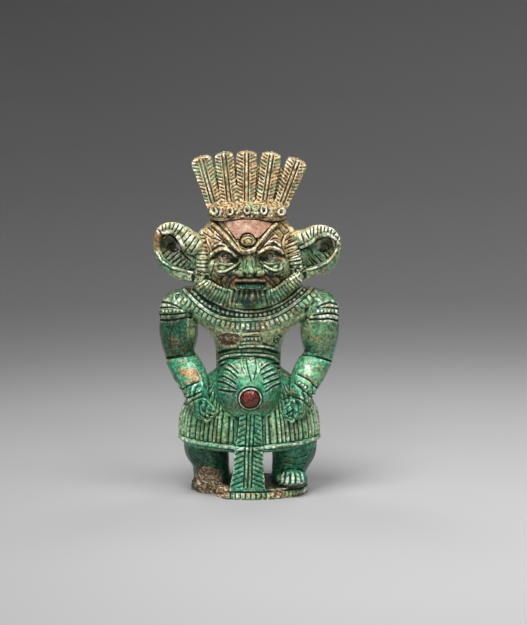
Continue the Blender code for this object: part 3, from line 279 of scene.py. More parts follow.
EAR_STRIPES = [
    [(-22.5, 63.3), (-20.9, 64.6)], [(-21.7, 62.2), (-19.8, 64.1)], [(-20.9, 61.5), (-18.5, 63.6)],
    [(-20.0, 60.9), (-17.8, 62.6)], [(-19.0, 60.2), (-17.0, 62.0)], [(-17.7, 59.8), (-16.1, 61.4)],
    [(20.5, 64.6), (22.1, 62.5)], [(19.2, 64.4), (21.3, 62.0)], [(17.9, 63.0), (19.7, 61.2)],
    [(17.1, 62.2), (18.7, 60.4)], [(16.3, 62.0), (17.9, 60.1)],
    [(14.2, 68.6), (15.0, 66.5)], [(15.4, 69.2), (16.3, 67.4)], [(16.6, 69.9), (16.8, 68.1)],
    [(17.5, 70.6), (17.5, 67.9)], [(18.6, 71.2), (18.6, 68.3)], [(19.5, 71.3), (19.5, 68.7)],
    [(20.6, 71.3), (20.3, 69.1)], [(21.6, 70.8), (21.3, 69.1)], [(22.7, 70.3), (22.1, 68.9)],
    [(23.6, 69.2), (22.7, 68.1)], [(24.4, 67.9), (23.5, 66.7)],
    [(-12.6, 67.2), (-15.0, 63.8)], [(-13.8, 67.8), (-16.2, 64.6)], [(-15.0, 68.5), (-17.0, 66.3)],
    [(-16.0, 69.6), (-17.8, 67.3)], [(-17.2, 70.5), (-18.7, 68.4)], [(-18.3, 71.1), (-19.5, 69.0)],
    [(-19.4, 71.7), (-20.1, 69.8)], [(-20.6, 71.9), (-20.9, 70.0)], [(-21.8, 71.8), (-21.8, 69.9)],
    [(-22.9, 71.0), (-22.6, 69.6)], [(-23.9, 69.8), (-23.2, 69.0)],
]
MANE_STROKES = [
    [(9.7, 68.3), (10.9, 69.3)], [(10.0, 66.9), (12.2, 68.2)], [(10.2, 65.7), (12.9, 67.0)],
    [(9.9, 64.6), (13.1, 66.0)], [(10.5, 63.3), (13.6, 64.6)], [(10.7, 62.2), (13.6, 63.2)],
    [(11.2, 61.2), (13.8, 61.6)], [(11.8, 60.1), (14.0, 60.4)], [(12.2, 59.2), (14.0, 59.3)],
    [(-10.9, 70.6), (-9.2, 69.0)], [(-11.9, 69.2), (-9.8, 67.6)], [(-9.0, 70.0), (-7.6, 68.6)],
    [(8.2, 70.4), (9.6, 68.6)], [(9.2, 71.4), (10.6, 70.2)], [(6.9, 69.4), (8.4, 67.9)],
]
UNDER_NOSE = [(-3.0, 59.4), (-1.2, 58.4), (-0.2, 57.6), (0.6, 58.0), (1.5, 57.5), (2.6, 58.8), (3.8, 59.2)]
FACE_FINE = [
    ([(-10.8, 67.3), (-10.3, 65.9), (-9.7, 64.4), (-9.4, 63.0)], 0.4, 0.3),
    ([(-9.3, 63.0), (-9.2, 61.2), (-9.3, 59.4), (-10.0, 57.4)], 0.4, -0.4),
    ([(9.7, 68.1), (9.1, 66.5), (9.4, 64.4), (10.2, 61.7), (11.5, 59.8), (12.8, 58.5)], 0.4, -0.35),
    ([(-9.2, 64.9), (-8.1, 65.8), (-6.8, 65.9), (-5.2, 65.3)], 0.4, 0.3),
    ([(4.4, 65.6), (5.9, 66.6), (7.3, 66.5), (8.6, 65.4)], 0.4, 0.3),
    ([(-8.4, 68.4), (-6.6, 66.8), (-4.9, 65.0), (-3.2, 63.4)], 0.4, -0.35),
    ([(7.0, 68.6), (5.3, 66.8), (3.7, 65.0), (2.4, 63.5)], 0.4, -0.35),
    ([(-9.4, 67.4), (-7.6, 67.0), (-6.2, 65.9)], 0.3, -0.25),
    ([(7.9, 67.4), (6.7, 67.3), (5.5, 66.3)], 0.3, -0.25),
    (UNDER_NOSE, 0.4, -0.5),
    ([(-5.0, 69.2), (-3.9, 67.6), (-2.7, 65.9), (-1.5, 64.4), (-0.3, 63.9), (1.0, 64.3)], 0.3, 0.35),
    ([(5.6, 69.6), (4.2, 67.8), (2.9, 66.0), (1.9, 64.9), (1.0, 64.3)], 0.3, 0.35),
    ([(-0.4, 61.6), (-0.5, 60.6), (-0.7, 59.6)], 0.3, -0.3),
    ([(1.2, 61.6), (1.3, 60.6), (1.5, 59.6)], 0.3, -0.3),
    ([(-2.0, 60.8), (-2.6, 60.0), (-2.6, 59.2)], 0.4, -0.35),
    ([(3.2, 60.9), (3.7, 60.2), (3.6, 59.3)], 0.4, -0.35),
    ([(-2.8, 57.4), (-4.0, 56.4), (-4.9, 55.0), (-5.2, 53.9)], 0.35, -0.35),
    ([(4.1, 57.3), (5.4, 56.2), (6.6, 54.8), (7.2, 53.9)], 0.35, -0.35),
    ([(-2.3, 57.9), (-4.0, 57.4), (-5.4, 56.2), (-6.0, 55.0)], 0.25, -0.25),
    ([(3.4, 57.9), (5.2, 57.4), (6.8, 56.0), (7.6, 54.9)], 0.25, -0.25),
    ([(-8.0, 57.6), (-6.8, 56.8), (-6.2, 55.6)], 0.4, -0.3),
    ([(9.4, 58.2), (8.4, 57.2), (7.8, 55.8)], 0.4, -0.3),
    ([(-8.6, 59.5), (-7.6, 58.0), (-6.0, 57.8)], 0.3, 0.25),
    ([(9.2, 60.0), (8.4, 58.4), (7.0, 58.0)], 0.3, 0.25),
]
LIPS = [
    ([(-3.2, 55.9), (-1.5, 56.2), (0.6, 56.0), (2.7, 56.2), (4.5, 55.9)], 0.4, 0.35),
    ([(-3.2, 55.45), (0.6, 55.4), (4.7, 55.45)], 0.32, -0.8),
    ([(-3.3, 54.9), (-2.6, 54.2), (0.6, 53.9), (3.9, 54.2), (4.9, 54.9)], 0.3, -0.5),
]
TEETH = ((-2.9, 4.7), 54.75, 0.72)  # across, height, pitch
COLLAR_BEADS = [
    (-15.3, 53.7), (-13.7, 52.4), (-11.9, 50.6), (-9.2, 48.9), (-5.5, 47.6), (-1.2, 47.0), (2.0, 47.0),
    (5.9, 47.6), (9.4, 49.2), (12.8, 51.6), (15.5, 54.3),
]
COLLAR_DROPS = [
    (-18.5, 51.9), (-16.1, 50.1), (-13.5, 48.3), (-10.3, 46.3), (-7.1, 45.0), (-3.4, 44.2), (0.6, 44.0),
    (4.6, 44.4), (8.1, 45.5), (11.2, 47.4), (14.7, 50.0), (18.2, 53.2),
]
BEAD_PITCH = 1.25
DROP_PITCH = 1.33
ARM_BEADS = [  # path, pitch, half width
    ([(-22.9, 48.1), (-20.0, 48.0), (-17.0, 48.1)], 0.96, 0.5),
    ([(18.2, 48.0), (21.0, 48.2), (24.0, 48.0)], 0.96, 0.5),
    ([(-18.0, 25.1), (-15.2, 25.9), (-12.6, 27.0)], 1.0, 0.42),
    ([(13.3, 29.2), (15.2, 28.0), (16.6, 26.7), (17.9, 25.1)], 1.0, 0.42),
]
FINGER_LINES = [
    [(-11.3, 22.5), (-9.7, 21.5), (-8.7, 21.3)], [(-11.9, 21.6), (-10.5, 20.7), (-9.2, 20.3)],
    [(-13.2, 21.1), (-11.9, 20.0), (-10.3, 19.6)], [(-14.5, 21.1), (-13.5, 19.9), (-11.9, 19.2)],
    [(11.5, 23.2), (10.2, 22.3), (9.1, 21.9)], [(12.0, 21.7), (10.7, 20.9), (9.4, 20.5)],
    [(13.4, 21.5), (12.0, 20.4), (10.5, 19.7)], [(14.4, 20.9), (13.1, 19.7), (11.8, 19.2)],
    [(-11.9, 24.5), (-10.5, 23.6), (-9.2, 22.3)], [(12.3, 24.8), (10.5, 25.0), (9.4, 24.5)],
]
TOES = [
    [(9.3, 6.0), (8.4, 4.2), (8.3, 2.6)], [(10.2, 6.2), (9.8, 4.2), (9.5, 2.4)],
    [(11.2, 6.2), (11.3, 4.2), (11.1, 2.2)], [(12.2, 6.2), (12.8, 4.2), (12.7, 2.4)],
    [(13.2, 6.0), (14.2, 4.4), (14.4, 2.8)],
]
TRUNK_FINE = [
    ([(-7.6, 34.3), (-5.8, 35.4), (-3.1, 35.5), (-0.4, 35.7), (0.8, 35.1)], 0.3, -0.3),
    ([(0.8, 35.1), (2.0, 35.7), (4.3, 35.7), (6.5, 35.1), (8.3, 33.8)], 0.3, -0.3),
    ([(-0.4, 35.5), (0.0, 33.0), (1.0, 29.4)], 0.35, -0.28),
    ([(2.0, 35.3), (2.3, 33.0), (1.7, 30.0)], 0.35, -0.28),
    ([(-1.6, 35.4), (-1.4, 33.4), (-0.6, 31.4)], 0.35, 0.2),
    ([(3.2, 35.3), (3.3, 33.4), (2.7, 31.4)], 0.35, 0.2),
    ([(-1.3, 41.2), (0.6, 41.3), (3.0, 41.3)], 0.25, -0.25),
    ([(-1.3, 40.1), (0.6, 40.1), (3.2, 40.1)], 0.25, -0.25),
    ([(-1.6, 39.5), (0.6, 39.6), (3.6, 39.5)], 0.3, 0.2),
    ([(-7.9, 36.2), (-4.2, 36.9), (0.6, 37.1), (4.9, 36.9), (8.1, 36.2)], 0.3, -0.3),
    ([(-20.6, 34.6), (-20.8, 33.5), (-20.1, 31.4), (-19.0, 28.8)], 0.35, 0.15),
    ([(-14.5, 34.3), (-13.2, 32.0), (-12.4, 30.1), (-12.0, 28.0)], 0.35, 0.15),
    ([(-15.3, 45.5), (-16.1, 43.6), (-16.4, 39.9)], 0.35, 0.15),
    ([(-21.4, 44.0), (-20.8, 42.0), (-21.0, 40.0)], 0.3, -0.2),
    ([(-19.8, 44.2), (-20.6, 42.2), (-20.4, 39.6)], 0.3, -0.2),
]
CHEST_BEADS = ([(-1.2, 40.65), (1.0, 40.7), (3.3, 40.65)], 0.98, 0.42)
NIPPLE = (7.9, 40.7)
CHIP = ((-5.2, 40.6), (3.0, 1.8))  # middle, radii
EDGE_CHIP = ((8.1, -0.3), (2.3, 1.2))
STUMP = ((-10.6, 3.0), (3.8, 3.9))
CORNER = ((-6.9, 0.4), (1.9, 2.1))
HAND_EDGES = [
    [(-15.6, 23.5), (-14.8, 21.3), (-12.7, 19.5), (-9.5, 19.4), (-7.6, 21.4)],
    [(15.8, 23.2), (15.0, 21.3), (13.1, 19.4), (10.7, 19.3), (8.6, 21.0)],
]
BEARD_EDGES = [
    [(-10.8, 56.9), (-9.3, 55.2), (-7.2, 53.9), (-4.8, 53.2)],
    [(13.9, 58.2), (11.3, 56.3), (8.6, 54.5), (6.4, 53.2)],
]
BEARD_STRANDS = [(x, 0.7 * math.copysign(1.0, x - 0.6)) for x in (-3.6, -2.2, -0.9, 0.5, 1.9, 3.2, 4.6)]
KNOTS = [(-7.3, 21.9), (-8.1, 21.1), (-6.8, 20.8), (-7.9, 19.8), (-7.1, 19.9)]
KNEE_LINES = [
    [(9.6, 9.6), (12.4, 9.0), (15.4, 9.8)], [(10.0, 7.9), (12.6, 7.2), (15.2, 7.6)],
    [(-14.5, 8.0), (-13.6, 7.3), (-12.7, 6.5)],
    [(-13.9, 8.4), (-12.9, 7.6), (-12.1, 6.7)], [(-13.2, 8.8), (-12.3, 7.9), (-11.4, 7.0)],
]

# Forehead inlay, seen from straight ahead as (x, z).
INLAY_TOP = [(-6.3, 73.9), (-3.4, 74.5), (-0.2, 74.7), (3.0, 74.5), (6.6, 73.6)]
INLAY_FEET = ((3.0, 70.1), (-3.0, 69.8))
INLAY_NOTCH = ((0.0, 69.3), 2.15)
INLAY_THICKNESS = 1.5
INLAY_GAP = 0.3

NAVEL_INLAY_RADIUS = 2.35
NAVEL_INLAY_PROFILE = [(0.0, 0.9), (1.2, 0.76), (2.0, 0.42), (2.35, 0.0), (2.35, -1.5), (0.0, -1.5)]
NAVEL_SOCKET_DEPTH = 1.9

# Looks, as red, green and blue out of 255 on screen.
TAN = (188, 154, 108)
SAGE = (162, 180, 138)
BROWN = (112, 84, 54)
RUST = (158, 96, 52)
CREAM = (255, 250, 236)
STRAW = (214, 188, 142)
UMBER = (52, 38, 26)
MOSS = (138, 154, 110)
GREEN = (52, 112, 78)
TURQUOISE = (60, 152, 118)
CELADON = (116, 170, 122)
DEEP = (4, 40, 28)
SHADE = (18, 62, 46)
OCHRE = (150, 128, 96)
ORANGE = (190, 140, 92)
SEA = (44, 124, 96)
SLATE = (70, 122, 114)
DARK_TEAL = (4, 68, 56)
# Near black, used for painted shade: under the brow, on the plinth's top under the figure and in the ears'
# holes.
SHADE_BLACK = (16, 13, 9)
# Painted light: the floor's grey changes with distance from a bright middle near the object, as the studio
# light falls across it.
FLOOR_GREYS = [  # distance from the floor's bright middle, grey
    (0.0, 154), (60.0, 153), (103.0, 148), (140.0, 143), (182.0, 134), (220.0, 122), (258.0, 109),
    (305.0, 99), (355.0, 93), (465.0, 92), (640.0, 95), (800.0, 103), (1020.0, 120), (1250.0, 143),
    (1655.0, 181), (2400.0, 208),
]
FLOOR_MIDDLE = (30.0, -50.0)
FLOOR_LIFT = 0.0005  # how much lighter it gets with each millimetre to the right
FLOOR_SIDES = 48
WALL = [(2600.0, 30.0), (2740.0, 120.0), (2800.0, 300.0), (2800.0, 2600.0)]  # distance, height
LIGHTS_AIM = (0.0, 0.0, 50.0)
LIGHTS = [  # name, place, width, height, watts
    ("key", (-150.0, -330.0, 1000.0), 400.0, 400.0, 12.0),
    ("side", (300.0, -250.0, 850.0), 260.0, 340.0, 3.0),
    ("front", (-80.0, -850.0, 420.0), 300.0, 200.0, 2.3),
    ("back_left", (-350.0, 450.0, 800.0), 300.0, 300.0, 1.8),
    ("back_right", (350.0, 450.0, 800.0), 300.0, 300.0, 1.8),
    ("glint_left", (-220.0, -560.0, 600.0), 70.0, 70.0, 0.9),
    ("glint_right", (260.0, -500.0, 560.0), 70.0, 70.0, 0.6),
]
PICTURE_HEIGHT = 625 * 0.2656  # the photograph's pixels at their scale

SCULPT_VOXEL = 0.17
SCULPT_TRIANGLES = 190000
SOFTENING = 6
INLAY_VOXEL = 0.12
INLAY_SOFTENING = 3
FINE_PASSES = 6
BROAD_PASSES = 70


# Shape makers. Each returns a mesh in metres.


def mesh_from(name, shape):
    made = bpy.data.meshes.new(name)
    shape.to_mesh(made)
    shape.free()
    return made


def mesh_of(name, shape):
    bmesh.ops.recalc_face_normals(shape, faces=shape.faces)
    return mesh_from(name, shape)


def object_from(mesh, name, group):
    made = bpy.data.objects.new(name, mesh)
    group.objects.link(made)
    return made


def baked(holder):
    """The mesh of an object with its modifiers applied. The object itself is removed."""
    made = bpy.data.meshes.new_from_object(holder.evaluated_get(bpy.context.evaluated_depsgraph_get()))
    bpy.data.objects.remove(holder)
    return made


def ball(centre, radii, turn=(0.0, 0.0, 0.0), segments=32):
    """An ellipsoid. turn is in degrees about X, Y and Z."""
    shape = bmesh.new()
    bmesh.ops.create_uvsphere(shape, u_segments=segments, v_segments=segments * 2 // 3, radius=1.0)
    turned = Matrix.Identity(4)
    for angle, axis in zip(turn, "XYZ"):
        turned = Matrix.Rotation(math.radians(angle), 4, axis) @ turned
    size = Matrix.Diagonal((*(Vector(radii) * MM), 1.0))
    place = Matrix.Translation(Vector(centre) * MM) @ turned @ size
    bmesh.ops.transform(shape, matrix=place, verts=shape.verts)
    return mesh_of("ball", shape)


def limb(stations):
    """A smooth tube through stations of (x, y, z, radius), with round ends."""
    curve = bpy.data.curves.new("limb", "CURVE")
    curve.dimensions = "3D"
    curve.bevel_depth = MM
    curve.bevel_resolution = 4
    curve.use_fill_caps = True
    spline = curve.splines.new("BEZIER")
    spline.bezier_points.add(len(stations) - 1)
    spline.resolution_u = 8
    spline.radius_interpolation = "CARDINAL"
    for point, (x, y, z, radius) in zip(spline.bezier_points, stations):
        point.co = (x * MM, y * MM, z * MM)
        point.handle_left_type = point.handle_right_type = "AUTO"
        point.radius = radius
    tube = baked(object_from(curve, "limb", bpy.context.scene.collection))
    ends = [ball(s[:3], (s[3],) * 3, segments=16) for s in (stations[0], stations[-1])]
    return [tube, *ends]


def skinned(name, shape, rings):
    """Rings of vertices joined each to the next, and closed at both ends."""
    for lower, upper in zip(rings, rings[1:]):
        for i in range(len(lower)):
            j = (i + 1) % len(lower)
            shape.faces.new((lower[i], lower[j], upper[j], upper[i]))
    shape.faces.new(rings[0])
    shape.faces.new(rings[-1])
    return mesh_of(name, shape)


def loft(sections, centre_x=0.0, power=2.0, sides=72):
    """A skin over level sections of (height, half width, front, back). A power over 2 squares them."""
    shape = bmesh.new()
    rings = []
    for height, half_width, front, back in sections:
        ring = []
        for i in range(sides):
            angle = 2.0 * math.pi * i / sides
            across, deep = math.cos(angle), math.sin(angle)
            across = math.copysign(abs(across) ** (2.0 / power), across)
            deep = math.copysign(abs(deep) ** (2.0 / power), deep)
            y = deep * (back if deep > 0 else -front)
            ring.append(shape.verts.new(((centre_x + across * half_width) * MM, y * MM, height * MM)))
        rings.append(ring)
    return skinned("loft", shape, rings)


def plate(outline, low, high, axis="Z"):
    """A flat outline given thickness from low to high along Z, or along Y for an outline in x and z."""
    curve = bpy.data.curves.new("plate", "CURVE")
    curve.dimensions = "2D"
    curve.fill_mode = "BOTH"
    curve.extrude = (high - low) / 2.0 * MM
    spline = curve.splines.new("POLY")
    spline.points.add(len(outline) - 1)
    spline.use_cyclic_u = True
    for point, (u, v) in zip(spline.points, outline):
        point.co = (u * MM, v * MM, 0.0, 1.0)
    slab = baked(object_from(curve, "plate", bpy.context.scene.collection))
    middle = (high + low) / 2.0 * MM
    if axis == "Y":
        slab.transform(Matrix.Translation((0.0, middle, 0.0)) @ UPRIGHT)
    else:
        slab.transform(Matrix.Translation((0.0, 0.0, middle)))
    shape = bmesh.new()
    shape.from_mesh(slab)
    bmesh.ops.remove_doubles(shape, verts=shape.verts, dist=0.00001)
    return mesh_of("plate", shape)


def mirrored(stations, shift=0.0):
    """The same stations on the other side, about x = shift."""
    return [(2.0 * shift - s[0], *s[1:]) for s in stations]


def cut(mesh, cutter_mesh, operation, group):
    """The mesh after one Boolean with the cutter."""
    target = object_from(mesh, "target", group)
    cutter = object_from(cutter_mesh, "cutter", group)
    modifier = target.modifiers.new("cut", "BOOLEAN")
    modifier.object = cutter
    modifier.operation = operation
    modifier.solver = "EXACT"
    made = baked(target)
    bpy.data.objects.remove(cutter)
    return made


def remeshed(mesh, voxel, passes, group):
    """The mesh as one closed skin of small even faces, with its creases softened."""
    holder = object_from(mesh, "skin", group)
    remesh = holder.modifiers.new("fuse", "REMESH")
    remesh.mode = "VOXEL"
    remesh.voxel_size = voxel * MM
    smooth = holder.modifiers.new("soften", "SMOOTH")
    smooth.iterations = passes
    return baked(holder)


# The figure's forms.


def plinth():
    """An oval slab, an ellipse in front and squarer behind, cut off along the broken edge."""
    half_width, front, back, middle = PLINTH
    kept = []
    for i in range(PLINTH_SIDES):
        angle = 2.0 * math.pi * i / PLINTH_SIDES
        across, deep = math.cos(angle), math.sin(angle)
        if deep > 0:
            across = math.copysign(abs(across) ** 0.65, across)
            deep = deep**0.65
        kept.append((middle + across * half_width, deep * (back if deep > 0 else -front)))
    first, last = BROKEN_EDGE[-1], BROKEN_EDGE[0]
    kept = [p for p in kept if not (p[1] < first[1] and p[0] < last[0])]
    at = max(i for i, p in enumerate(kept) if p[1] >= first[1]) + 1
    kept[at:at] = BROKEN_EDGE[::-1]
    return [plate(kept, -1.0, PLINTH_TOP)]


def legs():
    """Bowed legs. The right one ends in a paw, and the left one in a broken stump."""
    heels = [ball(place, HEEL_RADII) for place in HEELS]
    return [*limb(LEG_LEFT), *limb(LEG_RIGHT), ball(*PAW), ball(*STUMP_END), *heels]


def kilt():
    skirt = loft(KILT_SECTIONS, LOWER_X)
    for vertex in skirt.vertices:
        reach = min(1.0, abs(vertex.co.x / MM - LOWER_X) / KILT_REACH)
        low = min(1.0, max(0.0, (25.0 - vertex.co.z / MM) / 11.0))
        vertex.co.z += KILT_HEM_RISE * reach * reach * low * MM
    return [skirt]


def tail():
    """The flat strip that hangs from under the belly to the plinth."""
    strip = bmesh.new()
    rings = []
    for height, middle, half_width, front, back in TAIL_SECTIONS:
        ring = []
        for side, y in ((-1, front), (1, front), (1, back), (-1, back)):
            ring.append(strip.verts.new(((middle + side * half_width) * MM, y * MM, height * MM)))
        rings.append(ring)
    return [skinned("tail", strip, rings)]


def trunk():
    return [loft(TRUNK_SECTIONS, 0.2), ball(*BELLY)]


def arms():
    made = []
    for chain in (UPPER_ARM, FOREARM, HAND, *FINGERS):
        made += limb(chain)
        made += limb(mirrored(chain, ARMS_X))
    return made


def head():
    return [
        loft(HEAD_SECTIONS, HEAD_X, HEAD_POWER),
        *[ball(*form) for form in FACE_FORMS],
        *limb(NOSE_BRIDGE),
        *limb(BEARD),
        *limb(LOCK_LEFT),
        *limb(LOCK_RIGHT),
    ]


def ear_ball(form, side, turn=(0.0, 0.0, 0.0)):
    (x, y, z), radii = form
    return ball((side * x, y, z), radii, turn)


def ears(group):
    """Each ear is a bowl with a rolled rim, joined to the head, with a hole slanting back and inwards."""
    made = []
    for rim, (hole_x, hole_z) in zip((EAR_LEFT, EAR_RIGHT), EAR_HOLES):
        side = math.copysign(1.0, hole_x)
        lean = (0.0, side * EAR_LEAN, 0.0)
        wall = cut(ear_ball(EAR_OUTSIDE, side, lean), ear_ball(EAR_INSIDE, side, lean), "DIFFERENCE", group)
        bore = bmesh.new()
        radius = EAR_HOLE_RADIUS * MM
        bmesh.ops.create_cone(bore, cap_ends=True, segments=16, radius1=radius, radius2=radius, depth=0.02)
        place = Matrix.Translation(Vector((hole_x, EAR_HOLE_Y, hole_z)) * MM)
        slant = Matrix.Rotation(side * EAR_HOLE_SLANT, 4, "Z")
        bmesh.ops.transform(bore, matrix=place @ slant @ UPRIGHT, verts=bore.verts)
        made.append(cut(wall, mesh_of("bore", bore), "DIFFERENCE", group))
        made.append(ear_ball(EAR_ROOT, side))
        made += limb(rim)
    return made


def plume_outline(foot_x, narrow, tip_x, tip_z, wide):
    """A tapering plume with a rounded tip, as (x, z)."""
    foot, tip = Vector((foot_x, PLUME_FOOT_Z)), Vector((tip_x, tip_z))
    along = (tip - foot).normalized()
    across = Vector((along.y, -along.x))
    corner = 1.5
    shoulder = tip - along * corner
    points = [foot - across * narrow, foot + across * narrow]
    for i in range(7):
        angle = math.pi * i / 6.0
        reach = math.copysign(abs(math.cos(angle)) ** 0.5, math.cos(angle))
        points.append(shoulder + across * wide * reach + along * corner * math.sin(angle) ** 0.8)
    return [tuple(p) for p in points]


def headdress():
    """Five plumes joined by a web that is set back, thinner towards the tips, on a band."""
    slabs = [plate(plume_outline(*plume), -4.6, 3.4, "Y") for plume in PLUMES]
    web_tips = [(x * 0.95, z - 3.4) for _, _, x, z, _ in PLUMES]
    slabs.append(plate([(-9.8, PLUME_FOOT_Z), (9.6, PLUME_FOOT_Z), *web_tips[::-1]], -3.4, 2.4, "Y"))
    for slab in slabs:
        for vertex in slab.vertices:
            rise = max(0.0, (vertex.co.z / MM - PLUME_FOOT_Z) / 15.4)
            vertex.co.y = vertex.co.y * (1.0 - 0.52 * rise) + 0.1 * rise * MM
    return [*slabs, loft(BAND_SECTIONS, 0.0, power=4.0)]


def fused(meshes, group):
    """All the forms as one closed skin, with its creases softened."""
    shape = bmesh.new()
    for mesh in meshes:
        shape.from_mesh(mesh)
    return remeshed(mesh_from("forms", shape), SCULPT_VOXEL, SOFTENING, group)


# Carving. Every function below takes points and normals in millimetres and gives a height to add.


def step(low, high, value):
    t = np.clip((value - low) / (high - low), 0.0, 1.0)
    return t * t * (3.0 - 2.0 * t)


def bump(distance, half_width):
    t = np.minimum(np.abs(distance) / half_width, 1.0)
    return (1.0 - t * t) ** 2


def wave(phase):
    """A row of rounded ribs, 0 in the grooves and 1 on the crests, one for each unit of phase."""
    return np.abs(np.sin(np.pi * phase)) ** 0.6


def spline(points, per_span=6):
    """A smooth path through a few points."""
    p = np.array([points[0], *points, points[-1]], float)
    path = []
    for i in range(1, len(p) - 2):
        for t in np.linspace(0.0, 1.0, per_span, endpoint=False):
            a, b, c, d = p[i - 1 : i + 3]
            bend = (2 * a - 5 * b + 4 * c - d) * t**2 + (3 * b - a - 3 * c + d) * t**3
            path.append(0.5 * (2 * b + (c - a) * t + bend))
    path.append(p[-1])
    return np.array(path)


def to_path(at, path, reach):
    """Distance to a path, and how far along it in millimetres, for the points within reach."""
    low, high = path.min(0) - reach, path.max(0) + reach
    near = np.flatnonzero(((at > low) & (at < high)).all(1))
    best = np.full(len(near), 1e9)
    run = np.zeros(len(near))
    spot, passed = at[near], 0.0
    for a, b in zip(path, path[1:]):
        length = float(np.linalg.norm(b - a))
        t = np.clip((spot - a) @ (b - a) / length**2, 0.0, 1.0)
        gap = np.linalg.norm(spot - a - t[:, None] * (b - a), axis=1)
        closer = gap < best
        best[closer] = gap[closer]
        run[closer] = passed + t[closer] * length
        passed += length
    return near, best, run


def line(at, points, half_width, height):
    """A ridge, or with a height below 0 a groove, along a path in the view."""
    added = np.zeros(len(at))
    near, gap, _ = to_path(at, spline(points), half_width)
    added[near] = height * bump(gap, half_width)
    return added


def lines(at, table):
    return sum(line(at, *row) for row in table)


def seen(p):
    """Where points appear, as (across, up) in millimetres, from the photograph's view."""
    rise = p[:, 2] - VIEW_MIDDLE[1]
    near = rise * math.sin(VIEW_PITCH) - p[:, 1] * math.cos(VIEW_PITCH)
    scale = VIEW_DISTANCE / (VIEW_DISTANCE - near)
    across = VIEW_MIDDLE[0] + (p[:, 0] - VIEW_MIDDLE[0]) * scale
    up = VIEW_LIFT + (rise * math.cos(VIEW_PITCH) + p[:, 1] * math.sin(VIEW_PITCH)) * scale
    return np.column_stack((across, up))


def front_of(n):
    return step(0.1, 0.4, -n[:, 1])


def rough(p, size, octaves=3):
    """Smooth noise from about -1 to 1 at points in millimetres."""
    return np.array([noise.fractal(Vector(q), 1.0, 2.0, octaves) for q in p / size])


def apart(at, middle, radii=(1.0, 1.0)):
    """How far points on a plane are from the middle of an oval, as a share of its radii."""
    return np.hypot((at[:, 0] - middle[0]) / radii[0], (at[:, 1] - middle[1]) / radii[1])


def ragged(p, at, oval):
    """The distance from an oval in the view, 1 at its uneven edge."""
    return apart(at, *oval) + 0.5 / oval[1][0] * rough(p + 11.0, 1.6, 3)


def beads_on(at, points, pitch, half_width, height):
    """Round beads along a path."""
    added = np.zeros(len(at))
    near, gap, run = to_path(at, spline(points), half_width)
    along = (run / pitch) % 1.0 - 0.5
    added[near] = height * step(0.0, 0.45, 1.0 - np.hypot(gap / half_width, along / 0.46))
    return added


def along_plume(plume, p):
    """How far up a plume a point is, and how far off its middle, in millimetres."""
    foot_x, _, tip_x, tip_z, _ = plume
    foot, tip = np.array([foot_x, PLUME_FOOT_Z]), np.array([tip_x, tip_z])
    along = (tip - foot) / np.linalg.norm(tip - foot)
    local = p[:, [0, 2]] - foot
    return local @ along, local @ np.array([along[1], -along[0]])


def plume_at(p):
    """How far up its nearest plume each point is, and how far off that plume's middle."""
    ups, offs = zip(*[along_plume(plume, p) for plume in PLUMES])
    ups, offs = np.array(ups), np.array(offs)
    which = np.abs(offs).argmin(0)
    every = np.arange(len(p))
    return ups[which, every], offs[which, every]


def carve_plumes(p, n, at):
    """A double midrib and slanting barbs on both faces of each plume, crisper on the left halves."""
    up, off = plume_at(p)
    side = np.abs(off)
    ribs = 0.35 * bump(off, 0.34) - 0.3 * bump(side - 0.55, 0.25) + 0.15 * bump(side - 0.85, 0.25)
    crisp = np.where(off < 0, 0.42, 0.2) * np.where(p[:, 1] > 0.6, 0.6, 1.0)
    barbs = crisp * (1.0 - wave((up - side * 0.4) / BARB_PITCH)) * step(0.85, 1.05, side)
    face = step(0.35, 0.7, np.abs(n[:, 1]))
    clear = step(78.2, 78.8, p[:, 2])
    damage = 0.3 * bump(apart(p[:, [0, 2]], *PLUME_DAMAGE), 1.0) * (p[:, 1] < 0)
    edges = 0.2 * (1.0 - wave(up / BARB_PITCH)) * (1.0 - face)
    return ((ribs - barbs) * face - damage - edges) * clear


def carve_rosettes(p, n, at):
    """A ring with a pierced middle at the foot of each plume, and a rim along the band."""
    added = np.zeros(len(p))
    for middle in ROSETTES:
        away = apart(p[:, [0, 2]], middle)
        added += 0.55 * step(0.0, 0.35, 1.15 - away) - 1.6 * bump(away, 0.62)
    added -= 0.5 * bump(p[:, 2] - 75.1, 0.7) * (0.6 + 0.4 * rough(p, 1.2))
    added += 0.3 * rough(p + 3.0, 1.1) * step(75.0, 75.6, p[:, 2])
    return added * front_of(n) * (p[:, 1] < -4.5)


def carve_face(p, n, at):
    added = lines(at, FACE_LINES) + lines(at, FACE_FINE) + lines(at, LIPS)
    away = apart(at, BOSS, BOSS_RADII)
    added += 0.9 * step(1.0, 0.7, away) - 0.5 * bump(away - 1.15, 0.25) - 0.2 * bump(away - 0.55, 0.2)
    added += line(at, BOSS_SHADOW, 0.45, -0.9)
    for x, up in EYES:
        eye = np.hypot((at[:, 0] - x) / 2.2, (at[:, 1] - up + 0.3) / 1.1)
        added += 0.15 * step(1.0, 0.7, eye) - 0.15 * bump(apart(at, (x, up)) - 0.8, 0.3)
    (left, right), up, pitch = TEETH
    inside = (at[:, 0] > left) * (at[:, 0] < right)
    teeth = 1.0 - wave((at[:, 0] - left) / pitch)
    added += (0.2 - 0.7 * teeth) * bump(at[:, 1] - up, 0.5) * inside
    return added * front_of(n) * (p[:, 1] < -3.0)


